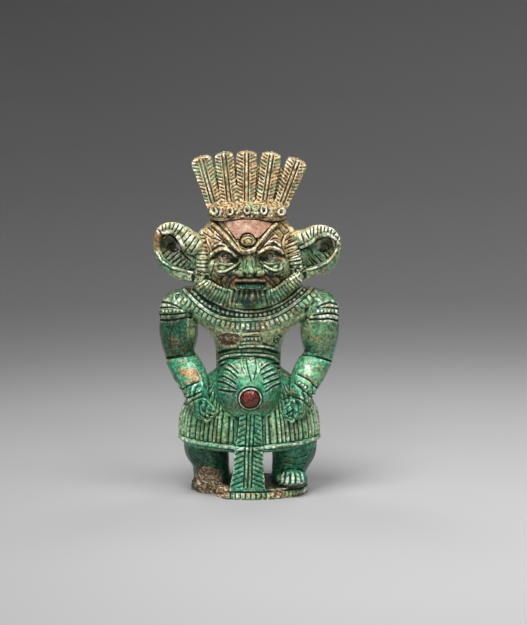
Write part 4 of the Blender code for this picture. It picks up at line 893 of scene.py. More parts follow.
def carve_hair(p, n, at):
    """Strands across the beard, upright grooves down its middle, and level grooves down the side locks and
    mane.
    """
    added = np.zeros(len(p))
    near, gap, run = to_path(at, spline(BEARD_LINE), 2.8)
    middle = step(4.2, 3.2, np.abs(at[near, 0] - 0.9))
    strands = (1.0 - wave(run / 0.9)) * (1.0 - middle)
    added[near] = -0.34 * strands * step(0.0, 0.4, 2.3 - gap)
    for x, lean in BEARD_STRANDS:
        added += line(at, [(x, 53.6), (x + 0.3 * lean, 52.2), (x + lean, 50.2)], 0.45, -0.5)
    added += lines(at, [(edge, 0.45, 0.45) for edge in BEARD_EDGES])
    for lock in (LOCK_LEFT, LOCK_RIGHT):
        near, gap, run = to_path(p, np.array([s[:3] for s in lock]), 2.8)
        added[near] -= 0.3 * (1.0 - wave(run / 1.0)) * step(0.0, 0.4, 2.5 - gap) * step(0.4, 0.9, run)
    added += lines(at, [(stroke, 0.3, -0.3) for stroke in MANE_STROKES])
    return added * front_of(n) * (p[:, 2] > 48.0)


def carve_mane_back(p, n, at):
    """Locks hanging down the back of the head, plainer than the front."""
    behind = step(-0.5, 2.5, p[:, 1]) * (p[:, 2] > 49.0) * (p[:, 2] < 74.0) * (np.abs(p[:, 0]) < 14.5)
    around = np.arctan2(p[:, 0], p[:, 1] + 4.0)
    locks = 1.0 - wave(around * 7.0)
    rows = 1.0 - wave(p[:, 2] / 1.5 + np.abs(np.sin(around * 7.0 * np.pi)) * 0.5)
    return -(0.35 * locks + 0.12 * rows) * behind * step(0.1, 0.4, n[:, 1])


def carve_ears(p, n, at):
    """Grooves across the rolled edges, a crest along the roll and stripes inside the bowl."""
    outer = np.abs(p[:, 0]) > 12.6
    added = lines(at, [(stroke, 0.3, -0.42) for stroke in EAR_STRIPES])
    added += lines(at, [(ridge, 0.5, 0.75) for ridge in EAR_RIDGES])
    added += lines(at, [(edge, 0.45, -0.55) for edge in EAR_INNER_EDGES])
    added += lines(at, [(rim, 0.45, 0.45) for rim in EAR_LOW_RIMS])
    return added * front_of(n) * outer * (p[:, 2] > 57.0)


def carve_trunk(p, n, at):
    """The collar of beads and drops, the chest, the ribs and the ring round the navel."""
    collar = lines(at, COLLAR_LINES)
    collar += beads_on(at, COLLAR_BEADS, BEAD_PITCH, 0.48, 0.32)
    near, gap, run = to_path(at, spline(COLLAR_DROPS), 1.0)
    drops = (1.0 - wave(run / DROP_PITCH)) * step(1.0, 0.7, gap)
    collar[near] += 0.2 * step(1.0, 0.6, gap) - 0.42 * drops
    collar += line(at, COLLAR_MIDDLE, 0.16, -0.2)
    added = collar * (p[:, 2] > 39.0)
    added += lines(at, TRUNK_LINES) + lines(at, TRUNK_FINE)
    added += beads_on(at, *CHEST_BEADS, 0.3)
    for rib in RIBS:
        added += line(at, rib, 0.34, -0.4)
        added += line(at, [(x, up + 0.62) for x, up in rib], 0.34, 0.22)
    away = apart(p[:, [0, 2]], NAVEL[::2])
    added += 0.3 * bump(away - 2.8, 0.32) - 0.4 * bump(away - 3.35, 0.3)
    nipple = apart(at, NIPPLE)
    added += 0.25 * bump(nipple - 0.7, 0.3) - 0.2 * bump(nipple, 0.4)
    chip = ragged(p, at, CHIP)
    added += -0.7 * step(1.0, 0.8, chip) + 0.6 * bump(chip, 0.7)
    return added * front_of(n)


def carve_arms(p, n, at):
    """Armlets and bracelets with their beads, the crease of each elbow, and the fingers."""
    side = step(-0.25, 0.1, -n[:, 1]) * (np.abs(p[:, 0]) > 10.0)
    added = lines(at, ARM_LINES) * side
    for points, pitch, half_width in ARM_BEADS:
        added += beads_on(at, points, pitch, half_width, 0.3) * side
    fingers = lines(at, [(finger, 0.3, -0.4) for finger in FINGER_LINES])
    fingers += lines(at, [(edge, 0.45, -0.4) for edge in HAND_EDGES])
    return added + fingers * front_of(n) * (p[:, 1] < -6.0)


def above_hem(p):
    """The height above the kilt's lower edge, which rises towards the sides."""
    reach = np.clip(np.abs(p[:, 0] - LOWER_X) / KILT_REACH, 0.0, 1.0)
    return p[:, 2] - KILT_HEM - KILT_HEM_RISE * reach**2


def off_belly(p):
    """0 on the belly's ball, and 1 just outside it."""
    return step(1.03, 1.1, np.linalg.norm((p - np.array(BELLY[0])) / np.array(BELLY[1]), axis=1))


def kilt_pleats(p):
    """Where the kilt shows its pleats, and their grooves: 1 along each one and 0 on the ridges between."""
    height = above_hem(p)
    around = np.arctan2(p[:, 0] - LOWER_X, -p[:, 1] * 1.5) / (2.0 * math.pi)
    clear = np.maximum(step(3.9, 4.3, np.abs(p[:, 0] - 0.5)), p[:, 1] > 0)
    phase = around * PLEATS_SEEN + 0.25 * np.sin(around * 60.0) + 0.12 * np.sin(around * 143.0)
    shown = step(1.2, 1.5, height) * step(0.0, 1.5, 17.0 - height) * clear * off_belly(p)
    return shown, 1.0 - np.abs(np.sin(np.pi * phase))


def carve_kilt(p, n, at):
    """Pleats round the kilt, stopping at a plain raised hem."""
    height = above_hem(p)
    shown, grooves = kilt_pleats(p)
    upright = step(0.0, 0.3, 0.75 - np.abs(n[:, 2]))
    hem = 0.4 * step(0.1, 0.4, height) * step(0.0, 0.25, 1.2 - height) - 0.3 * bump(height - 1.45, 0.25)
    away = (np.abs(p[:, 0]) < 20.5) * (p[:, 2] > 11.0)
    made = (hem * off_belly(p) - 0.7 * grooves * shown) * upright * away
    for knot in KNOTS:
        made += 0.35 * bump(apart(at, knot), 0.6) * front_of(n)
    return made


def carve_tail(p, n, at):
    """Two ribs down the middle of the hanging strip, with slanting barbs either side."""
    heights, middles, half_widths = zip(*[row[:3] for row in TAIL_SECTIONS])
    off = p[:, 0] - np.interp(p[:, 2], heights, middles)
    half = np.interp(p[:, 2], heights, half_widths)
    on = (p[:, 1] < -10.2) * (np.abs(off) < half)
    on = on * step(3.1, 3.5, p[:, 2]) * step(0.0, 0.6, 23.5 - p[:, 2])
    ribs = 0.3 * bump(np.abs(off) - 0.5, 0.3) - 0.25 * bump(off, 0.15) - 0.45 * bump(np.abs(off) - 1.05, 0.28)
    pitch = np.where(off < 0, 1.42, 1.27)
    barbs = (1.0 - wave((p[:, 2] + np.abs(off) * 0.45) / pitch)) * step(1.15, 1.4, np.abs(off))
    return (ribs - 0.42 * barbs) * on * step(0.45, 0.7, -n[:, 1])


def plinth_beads(p):
    """The row of beads along the plinth's front edge, 1 on a bead and 0 between two."""
    ellipse = np.arctan2((p[:, 0] - PLINTH[3]) / PLINTH[0], p[:, 1] / PLINTH[1])
    run = ellipse * (PLINTH[0] - PLINTH[1]) / 2.0
    return step(0.3, 0.65, wave(run / PLINTH_BEAD_PITCH)) * bump(p[:, 2] - 1.0, 1.1)


def carve_feet(p, n, at):
    """Toes on the whole paw, folds at the knee, and a row of beads along the plinth's edge."""
    paw = (p[:, 0] > 6.8) * (p[:, 1] < -2.0)
    paw = paw * step(0.0, 0.5, 6.8 - p[:, 2]) * step(2.9, 3.2, p[:, 2])
    added = lines(at, [(toe, 0.45, -0.75) for toe in TOES]) * paw
    added += lines(at, [(fold, 0.4, -0.2) for fold in KNEE_LINES]) * front_of(n) * (p[:, 1] < -1.0)
    edge = step(0.4, 0.7, np.hypot(n[:, 0], n[:, 1])) * (p[:, 1] < -1.0) * (p[:, 0] > BROKEN_EDGE[0][0])
    row = 0.9 * plinth_beads(p) - 0.6 * bump(p[:, 2] - 1.0, 1.1) - 0.45 * bump(p[:, 2] - 2.1, 0.3)
    chipped = ragged(p, at, EDGE_CHIP)
    added += row * edge * step(0.8, 1.1, chipped) * (p[:, 2] < PLINTH_TOP)
    return added - 0.4 * bump(chipped, 1.0) * edge


def broken_share(p, at):
    """How much each point belongs to a broken surface, from 0 to 1."""
    share = np.maximum(step(1.05, 0.95, ragged(p, at, STUMP)), step(1.1, 0.95, ragged(p, at, CORNER)))
    share = share * (p[:, 1] < 2.5)
    for oval in (CHIP, EDGE_CHIP):
        share = np.maximum(share, step(1.05, 0.95, ragged(p, at, oval)) * (p[:, 1] < -4.0))
    under = step(0.5, 0.1, p[:, 2])
    return np.maximum(share, under)


def carve_wear(p, n, at):
    """Uneven glaze everywhere, and a rough grain on the breaks."""
    broken = broken_share(p, at) * (p[:, 2] > 0.4)
    layers = wave((at[:, 0] * 0.5 + at[:, 1]) / 0.9 + 0.8 * rough(p, 2.0, 2))
    return 0.05 * rough(p, 1.6) + broken * (0.5 * rough(p + 40.0, 1.0, 4) - 0.15 * layers)


RELIEF = (
    carve_plumes,
    carve_rosettes,
    carve_face,
    carve_hair,
    carve_mane_back,
    carve_ears,
    carve_trunk,
    carve_arms,
    carve_kilt,
    carve_tail,
    carve_feet,
    carve_wear,
)


def arrays_of(mesh):
    """Points and normals of a mesh, in millimetres."""
    count = len(mesh.vertices)
    points, normals = np.empty(count * 3, np.float32), np.empty(count * 3, np.float32)
    mesh.vertices.foreach_get("co", points)
    mesh.vertices.foreach_get("normal", normals)
    return points.reshape(-1, 3).astype(float) / MM, normals.reshape(-1, 3).astype(float)


def put_points(mesh, p):
    mesh.vertices.foreach_set("co", (p * MM).ravel())
    mesh.update()


def carve(mesh):
    """Moves each vertex along its normal by the sum of the carvings there."""
    p, n = arrays_of(mesh)
    at = seen(p)
    added = sum(carver(p, n, at) for carver in RELIEF)
    put_points(mesh, p + n * added[:, None])


def hollows(mesh, passes):
    """How far each vertex lies below the smoothed skin round it, in millimetres."""
    p, n = arrays_of(mesh)
    ends = np.empty(len(mesh.edges) * 2, np.int32)
    mesh.edges.foreach_get("vertices", ends)
    a, b = ends[0::2], ends[1::2]
    both, other = np.concatenate((a, b)), np.concatenate((b, a))
    count = np.bincount(both, minlength=len(p))[:, None]
    smooth = p.copy()
    for _ in range(passes):
        total = np.column_stack([np.bincount(both, smooth[other, k], len(p)) for k in range(3)])
        smooth = 0.3 * smooth + 0.7 * total / count
    return ((smooth - p) * n).sum(1)


def thinned(mesh, triangles, group):
    holder = object_from(mesh, "carved", group)
    mesh.calc_loop_triangles()
    decimate = holder.modifiers.new("thin", "DECIMATE")
    decimate.ratio = triangles / len(mesh.loop_triangles)
    return baked(holder)


def flat_underside(mesh):
    """Cuts the skin level at the ground and closes it."""
    shape = bmesh.new()
    shape.from_mesh(mesh)
    everything = shape.verts[:] + shape.edges[:] + shape.faces[:]
    bmesh.ops.bisect_plane(shape, geom=everything, plane_co=(0, 0, 0), plane_no=(0, 0, -1), clear_outer=True)
    rim = [edge for edge in shape.edges if edge.is_boundary]
    bmesh.ops.contextual_create(shape, geom=rim)
    return mesh_of("figure", shape)


def inlay_outline(grow):
    """The fan of the forehead inlay, seen from the front, with the notch for the boss."""
    (right_x, right_z), (left_x, left_z) = INLAY_FEET
    (middle_x, middle_z), radius = INLAY_NOTCH
    radius -= grow
    points = [(x + math.copysign(grow, x), z + grow) for x, z in INLAY_TOP][::-1]
    points.append((left_x - grow, left_z - grow))
    start = math.pi - math.asin((left_z - grow - middle_z) / radius)
    end = math.asin((right_z - grow - middle_z) / radius)
    for i in range(9):
        angle = start + (end - start) * i / 8.0
        points.append((middle_x + radius * math.cos(angle), middle_z + radius * math.sin(angle)))
    points.append((right_x + grow, right_z - grow))
    return points


def brow_shell(outline, inner, outer, group):
    """The part of a prism through the forehead that lies between two offsets of the head."""
    kept = plate(outline, -16.0, -4.0, "Y")
    for grow, operation in ((outer, "INTERSECT"), (inner, "DIFFERENCE")):
        sections = [(z, w + grow, f - grow, b + grow) for z, w, f, b in HEAD_SECTIONS]
        kept = cut(kept, loft(sections, HEAD_X, HEAD_POWER, sides=48), operation, group)
    return kept


def turned(profile, name, group):
    """A profile of (radius, height) turned about its own axis."""
    shape = bmesh.new()
    corners = [shape.verts.new((radius * MM, 0.0, height * MM)) for radius, height in profile]
    for a, b in zip(corners, corners[1:]):
        shape.edges.new((a, b))
    holder = object_from(mesh_from(name, shape), name, group)
    screw = holder.modifiers.new("turn", "SCREW")
    screw.steps = screw.render_steps = 32
    screw.use_merge_vertices = True
    screw.merge_threshold = 0.00001
    return baked(holder)


def navel_place():
    """The navel's axis: out of the belly, tipped a little down."""
    return Matrix.Translation(Vector(NAVEL) * MM) @ Matrix.Rotation(math.pi / 2.0 + NAVEL_TILT, 4, "X")


def navel_cutter():
    shape = bmesh.new()
    radius = (NAVEL_INLAY_RADIUS + INLAY_GAP) * MM
    bmesh.ops.create_cone(shape, cap_ends=True, segments=32, radius1=radius, radius2=radius, depth=6.0 * MM)
    drop = Matrix.Translation((0.0, 0.0, (3.0 - NAVEL_SOCKET_DEPTH) * MM))
    bmesh.ops.transform(shape, matrix=navel_place() @ drop, verts=shape.verts)
    return mesh_of("navel_cutter", shape)


# Colour. Each vertex gets a base colour and masks that the materials read.


def linear(colour):
    """A screen colour out of 255 as the renderer's linear values."""
    c = np.array(colour, float) / 255.0
    return np.where(c <= 0.04045, c / 12.92, ((c + 0.055) / 1.055) ** 2.4)


def blended(base, colour, share):
    return base + (linear(colour) - base) * np.clip(share, 0.0, 1.0)[:, None]


def patch(at, middle, radii, soft=0.35):
    """An oval in the view, 1 inside and fading to 0 outside."""
    return step(1.0 + soft, 1.0 - soft, apart(at, middle, radii))


def base_colours(p, at):
    """The glaze by region, with some painted shade and highlights, and the darker colour for its hollows,
    which stands both for glaze that pools there and for painted shade, before wear and flecks.
    """
    def spot(x, up, wide, tall, soft=0.35):
        return patch(at, (x, up), (wide, tall), soft)

    large, small = rough(p, 7.0, 2), rough(p + 20.0, 2.2, 3)
    up, x = at[:, 1], at[:, 0]
    wide = np.abs(x - 0.4)
    head = wide < 12.5
    collar = step(43.0, 45.0, up) * step(54.5, 52.5, up)
    strip = step(22.0, 20.0, up) * (wide < 5.0) * (p[:, 1] < -10.0)
    plinth_top_shade = step(1.2, 0.4, np.abs(p[:, 2] - PLINTH_TOP)) * (np.abs(p[:, 0]) < 17.0) * (p[:, 1] > -9.0)
    kilt, grooves = kilt_pleats(p)
    hands = np.maximum(spot(-12.0, 22.2, 5.2, 4.2), spot(12.4, 22.2, 5.2, 4.2))
    kilt = kilt * (1.0 - hands * (p[:, 1] < 0)) * step(26.0, 23.0, p[:, 2]) * (wide < 20.5)
    glaze = [
        (TURQUOISE, 0.6 * spot(0.5, 29.0, 9.0, 8.0)),
        (CELADON, 0.4 * spot(0.8, 32.0, 6.0, 4.0)),
        # Pale patches on the belly's top: a painted highlight over its cream-tan glaze.
        (CREAM, 0.35 * spot(0.8, 33.2, 4.6, 2.2) * step(-0.1, 0.4, small)),
        (SLATE, 0.7 * spot(-4.6, 26.0, 3.8, 4.0) * step(-0.4, 0.2, small)),
        (SLATE, 0.5 * spot(5.5, 28.0, 3.2, 4.0) * step(-0.2, 0.4, small)),
        (CELADON, 0.9 * step(26.0, 22.5, up) * step(12.0, 13.5, up)),
        (OCHRE, 0.5 * spot(-5.5, 18.5, 3.5, 4.5) * step(-0.1, 0.4, small)),
        (TURQUOISE, 0.85 * strip),
        (TURQUOISE, 0.85 * bump(p[:, 2] - 14.2, 1.3) * (p[:, 1] > -12.3)),
        (CELADON, 0.5 * strip * step(-0.3, 0.3, small)),
        (SAGE, 0.35 * kilt * step(0.4, 0.2, grooves)),
        (CREAM, 0.2 * kilt * step(0.15, 0.05, grooves) * (x > 0.0)),
        (DARK_TEAL, 0.65 * kilt * step(0.4, 0.8, grooves)),
        (SEA, 0.8 * spot(-12.2, 22.4, 3.2, 2.6) + 0.8 * spot(12.0, 22.4, 3.2, 2.8)),
        # Painted shadow: the legs below the kilt's hem are darkened as the kilt shades them.
        (SHADE, 0.9 * step(13.2, 12.2, p[:, 2]) * (p[:, 1] > -10.5) * step(2.0, 3.2, p[:, 2])),
        (GREEN, 0.5 * spot(12.5, 10.5, 3.6, 3.2) * step(-0.4, 0.3, small)),
        (SEA, 0.55 * spot(12.0, 9.5, 4.6, 4.0)),
        (TURQUOISE, 0.85 * spot(11.4, 4.6, 4.6, 2.2)),
        (DEEP, 0.9 * step(2.6, 2.2, p[:, 2]) * (p[:, 1] < -1.0)),
        (CELADON, 0.95 * plinth_beads(p) * (p[:, 1] < -1.0)),
        (SHADE, 0.75 * spot(-19.0, 41.5, 5.0, 7.0)),
        (SEA, 0.5 * spot(19.5, 42.0, 5.0, 7.0)),
        (MOSS, 0.4 * spot(20.5, 42.0, 3.0, 7.0)),
        (TURQUOISE, 0.7 * step(37.0, 35.0, up) * (wide > 11.0) * step(24.0, 27.0, up)),
        (CELADON, 0.8 * spot(16.5, 31.5, 3.5, 4.0)),
        (CELADON, 0.5 * spot(-16.5, 32.5, 2.5, 3.0) * step(-0.3, 0.2, small)),
        (ORANGE, 0.9 * spot(-15.2, 31.0, 2.4, 2.0) * step(-0.3, 0.2, small)),
        # Painted highlight on the top of the right forearm, over its pale celadon glaze.
        (CREAM, 0.5 * spot(16.4, 32.4, 1.6, 2.0) * step(-0.2, 0.3, small)),
        (MOSS, step(39.0, 44.0, up) * (wide < 16.5)),
        (SAGE, 0.7 * spot(0.5, 43.0, 14.0, 6.5)),
        (SEA, 0.35 * spot(0.5, 38.0, 12.0, 2.6) * step(-0.3, 0.2, small)),
        (MOSS, 0.6 * spot(-19.5, 51.5, 4.5, 3.5) + 0.5 * spot(20.0, 51.5, 4.5, 3.5)),
        (SEA, 0.6 * spot(-19.5, 51.0, 5.5, 3.0) * step(-0.2, 0.4, small)),
        (SEA, 0.6 * spot(20.0, 51.0, 5.5, 3.5) * step(-0.4, 0.2, small)),
        (CELADON, 0.6 * collar * (wide < 17.5) * step(-0.3, 0.2, small)),
        (TURQUOISE, 0.5 * collar * (wide < 19.0) * step(0.0, 0.5, large)),
        (TAN, 0.6 * spot(0.5, 42.5, 12.0, 3.6) * step(0.0, 0.5, small)),
        # Painted shade under the belly.
        (SHADE, 0.6 * spot(0.4, 23.2, 7.0, 2.0)),
        (MOSS, 0.9 * step(55.0, 57.0, up)),
        (SAGE, 0.45 * spot(0.8, 58.5, 11.0, 5.0) * step(-0.3, 0.2, small)),
        (SAGE, 0.75 * step(55.0, 58.0, up) * (1.0 - head)),
        (TAN, 0.9 * step(60.5, 65.5, up) * head * step(76.0, 73.0, up)),
        (SAGE, 0.45 * step(60.0, 66.0, up) * head * step(0.0, 0.5, small + 0.4 * large)),
        (SAGE, 0.75 * step(73.0, 76.0, up)),
        (TAN, 0.9 * step(73.0, 76.0, up) * step(-0.9, -0.1, small + 0.4 * large)),
        # Painted shade on the lower part of the band.
        (BROWN, 0.6 * step(76.2, 74.6, up) * step(73.0, 73.6, up) * (p[:, 1] < 0)),
        (TURQUOISE, 0.5 * spot(1.8, 75.4, 2.4, 1.0) + 0.5 * spot(-9.2, 74.2, 1.6, 1.0)),
        (TURQUOISE, 0.4 * step(75.0, 78.0, up) * step(0.3, 0.65, large - 0.3 * small)),
        (TURQUOISE, 0.5 * spot(-6.4, 88.6, 2.6, 2.2) * step(-0.3, 0.2, small)),
        (SEA, 0.6 * spot(-19.5, 60.5, 6.0, 2.2) + 0.6 * spot(19.5, 61.0, 6.0, 2.2)),
        (TURQUOISE, 0.5 * spot(17.0, 64.0, 3.0, 2.0) + 0.35 * spot(22.0, 70.0, 3.0, 2.0)),
        (TAN, 0.6 * step(62.0, 68.0, up) * (1.0 - head) * step(-0.2, 0.3, small) * step(73.0, 72.0, up)),
        (RUST, 0.7 * spot(-24.0, 67.0, 1.2, 3.0) + 0.5 * spot(15.0, 71.0, 3.0, 1.2)),
        # Painted shade in the ears' bowls round the holes.
        (UMBER, 0.8 * spot(-21.3, 66.6, 2.4, 2.6) * (wide > 13.0)),
        (UMBER, 0.8 * spot(22.3, 66.5, 1.6, 2.2) * (wide > 13.0)),
        # Brown eyes darkened as painted shade under the brow, and a band of painted shade between them.
        (UMBER, 0.8 * spot(-5.8, 62.3, 3.8, 1.5) + 0.8 * spot(6.4, 62.3, 3.8, 1.5)),
        (SHADE_BLACK, 0.6 * spot(0.8, 62.4, 3.4, 0.9)),
        (GREEN, 0.45 * spot(0.8, 60.4, 3.0, 1.2) + 0.25 * spot(0.8, 58.2, 3.6, 1.0)),
        (RUST, 0.4 * spot(-8.0, 58.0, 2.0, 3.0) * step(0.0, 0.4, small)),
        (BROWN, 0.9 * spot(-4.2, 56.7, 2.9, 2.0) + 0.9 * spot(5.8, 56.7, 2.9, 2.0)),
        (UMBER, 0.6 * spot(-4.4, 56.1, 2.0, 1.2) + 0.6 * spot(6.0, 56.1, 2.0, 1.2)),
        (BROWN, 0.85 * spot(0.8, 56.2, 4.4, 0.8)),
        (DARK_TEAL, 0.95 * spot(0.9, 54.9, 4.2, 1.1, 0.15)),
        (SEA, 0.6 * spot(0.9, 54.6, 4.0, 0.5, 0.15)),
        (UMBER, 0.9 * spot(0.8, 52.0, 5.2, 2.0)),
        (DEEP, 0.95 * spot(0.4, 49.9, 2.2, 1.4)),
        (SHADE, 0.6 * (spot(-8.5, 52.4, 4.8, 2.2) + spot(9.5, 52.6, 4.8, 2.2))),
        # Painted shadow under the band's overhang, at the top of the forehead.
        (UMBER, 0.6 * step(75.2, 74.2, p[:, 2]) * step(73.2, 74.0, p[:, 2]) * (p[:, 1] < 0)),
        (RUST, 0.5 * step(0.3, 0.7, small + 0.35 * large) * step(16.0, 30.0, up)),
        # Painted shade: the plinth's top under the figure, near black.
        (SHADE_BLACK, 0.8 * plinth_top_shade),
    ]
    # Darker colours for the hollows, by region: glaze that pools in the grooves, and painted shade in the
    # broad hollows.
    pool_and_shade = [
        (DARK_TEAL, 0.6 * spot(0.5, 30.0, 10.0, 9.0) + 0.5 * spot(0.5, 48.0, 16.0, 6.0)),
        (UMBER, 0.6 * step(56.0, 60.0, up) * head),
        (UMBER, 0.7 * step(73.0, 76.0, up)),
        (DEEP, 0.5 * step(58.0, 60.0, up) * step(0.0, 0.3, small) * step(76.0, 74.0, up)),
        (TURQUOISE, 0.5 * step(77.5, 79.0, up) * step(0.2, 0.6, large + 0.4 * small)),
    ]
    colour, dark = np.tile(linear(GREEN), (len(p), 1)), np.tile(linear(DEEP), (len(p), 1))
    for name, share in glaze:
        colour = blended(colour, name, share)
    for name, share in pool_and_shade:
        dark = blended(dark, name, share)
    return colour, dark


def crest_wear(at):
    """How far the glaze has worn off the crests, by region."""
    wear = 0.6 + 0.4 * step(38.0, 48.0, at[:, 1])
    spared = [
        (0.7, (-5.8, 62.2), (4.2, 1.8)), (0.7, (6.4, 62.2), (4.2, 1.8)), (0.5, (0.8, 55.0), (4.2, 1.6)),
        (0.3, (-19.0, 66.0), (6.5, 7.0)), (0.3, (19.5, 66.0), (6.5, 7.0)), (0.35, (0.4, 18.0), (19.0, 5.0)),
        (0.85, (0.8, 51.6), (6.0, 2.4)), (0.5, (-8.5, 53.0), (4.5, 2.4)), (0.5, (9.5, 53.4), (4.5, 2.4)),
        (0.75, (-4.6, 56.2), (3.0, 2.4)), (0.75, (6.0, 56.2), (3.0, 2.4)), (0.7, (-11.5, 22.0), (3.6, 3.6)),
        (0.4, (11.5, 22.5), (3.6, 3.6)), (0.5, (-18.5, 41.0), (5.0, 7.5)), (0.8, (-11.0, 9.0), (6.0, 4.0)),
        (0.8, (12.0, 9.0), (6.0, 3.2)), (0.7, (0.8, 59.8), (4.0, 3.2)), (0.5, (0.8, 54.6), (4.4, 0.9)),
        (0.7, (0.8, 56.2), (5.0, 0.9)), (0.5, (-6.0, 64.6), (4.6, 1.4)), (0.5, (-11.5, 22.0), (4.0, 4.0)),
        (0.8, (-2.0, 58.2), (1.4, 1.1)), (0.8, (3.0, 58.3), (1.4, 1.1)), (0.5, (-6.0, 60.0), (3.6, 1.8)),
        (0.5, (6.6, 60.0), (3.6, 1.8)), (0.4, (-0.2, 76.8), (12.0, 2.4)), (0.5, (0.0, 84.0), (14.0, 9.0)),
        (0.4, (-8.0, 59.0), (3.0, 4.0)), (0.4, (9.0, 59.0), (3.0, 4.0)), (0.4, (0.1, 66.6), (2.0, 1.8)),
    ]
    for share, middle, radii in spared:
        wear = wear * (1.0 - share * patch(at, middle, radii))
    return wear


def ear_pits(p):
    """The walls of the ears' holes, which are painted near black as shade."""
    pits = np.zeros(len(p))
    for x, z in EAR_HOLES:
        back = np.clip(p[:, 1] - EAR_HOLE_Y, -0.5, 5.0) * math.tan(EAR_HOLE_SLANT) * math.copysign(1.0, x)
        away = np.hypot(p[:, 0] - x + back, p[:, 2] - z)
        pits = np.maximum(pits, step(EAR_HOLE_RADIUS + 0.45, EAR_HOLE_RADIUS, away))
    return pits


def put_colours(mesh, name, colours):
    """One colour for each vertex, which a material reads by name."""
    layer = mesh.attributes.new(name, "FLOAT_COLOR", "POINT")
    values = np.column_stack((colours, np.ones(len(colours)))).astype(np.float32)
    layer.data.foreach_set("color", values.ravel())


def paint(mesh, source, fine, broad):
    """Writes the base colour and masks on a mesh, the hollows being taken from the full sculpt."""
    p, _ = arrays_of(mesh)
    at = seen(p)
    tree = kdtree.KDTree(len(source))
    for i, point in enumerate(source):
        tree.insert(point, i)
    tree.balance()
    nearest = np.array([tree.find(point)[1] for point in p])
    broken = broken_share(p, at)
    colour, dark = base_colours(p, at)
    colour = blended(colour, OCHRE, broken)
    colour = blended(colour, ORANGE, 0.6 * step(1.0, 0.7, ragged(p, at, CORNER)) * broken)
    colour = blended(colour, CREAM, 0.5 * step(0.2, 0.5, rough(p + 5.0, 0.8, 3)) * broken)
    colour = blended(colour, UMBER, 0.7 * step(-0.15, -0.4, rough(p + 9.0, 0.9, 3)) * broken)
    put_colours(mesh, "tone", colour)
    put_colours(mesh, "pool_and_shade", blended(dark, UMBER, broken))
    masks = {
        "groove": np.clip(fine[nearest] / 0.06, 0.0, 1.0),
        "ridge": np.clip(-fine[nearest] / 0.08, 0.0, 1.0) * crest_wear(at),
        # Painted shade: the broad hollows, which the material darkens as shade.
        "broad_hollow_shade": np.clip(broad[nearest] / 0.5, 0.0, 1.0),
        "proud": np.clip(-broad[nearest] / 0.5, 0.0, 1.0),
        "broken": broken,
        # Painted shade: the walls of the ears' holes, coloured near black in the material.
        "pit": ear_pits(p),
    }
    for name, values in masks.items():
        mesh.attributes.new(name, "FLOAT", "POINT").data.foreach_set("value", values.astype(np.float32))


class Nodes:
    """A short way to build a node material."""

    def __init__(self, name):
        self.material = bpy.data.materials.new(name)
        self.material.use_nodes = True
        self.tree = self.material.node_tree
        self.shader = self.tree.nodes["Principled BSDF"]
        self.place = self.tree.nodes.new("ShaderNodeTexCoord").outputs["Object"]

    def put(self, value, socket):
        if isinstance(value, bpy.types.NodeSocket):
            self.tree.links.new(value, socket)
        elif isinstance(value, tuple):
            socket.default_value = (*linear(value), 1.0)
        else:
            socket.default_value = value

    def attribute(self, name, output="Fac"):
        node = self.tree.nodes.new("ShaderNodeAttribute")
        node.attribute_name = name
        return node.outputs[output]

    def noise(self, size_mm, detail=4.0, roughness=0.55):
        node = self.tree.nodes.new("ShaderNodeTexNoise")
        self.put(self.place, node.inputs["Vector"])
        node.inputs["Scale"].default_value = 1.0 / (size_mm * MM)
        node.inputs["Detail"].default_value = detail
        node.inputs["Roughness"].default_value = roughness
        return node.outputs["Fac"]

    def math(self, operation, a, b=0.0):
        node = self.tree.nodes.new("ShaderNodeMath")
        node.operation = operation
        self.put(a, node.inputs[0])
        self.put(b, node.inputs[1])
        return node.outputs[0]

    def ramp(self, value, low, high, out_low=0.0, out_high=1.0):
        node = self.tree.nodes.new("ShaderNodeMapRange")
        node.interpolation_type = "SMOOTHSTEP"
        self.put(value, node.inputs["Value"])
        for name, number in zip(("From Min", "From Max", "To Min", "To Max"), (low, high, out_low, out_high)):
            node.inputs[name].default_value = number
        return node.outputs["Result"]

    def mix(self, factor, a, b, blend="MIX"):
        node = self.tree.nodes.new("ShaderNodeMix")
        node.data_type = "RGBA"
        node.blend_type = blend
        self.put(factor, node.inputs[0])
        self.put(a, node.inputs[6])
        self.put(b, node.inputs[7])
        return node.outputs[2]

    def bump(self, height, distance_mm, strength=1.0):
        node = self.tree.nodes.new("ShaderNodeBump")
        node.inputs["Strength"].default_value = strength
        node.inputs["Distance"].default_value = distance_mm * MM
        self.put(height, node.inputs["Height"])
        self.tree.links.new(node.outputs["Normal"], self.shader.inputs["Normal"])


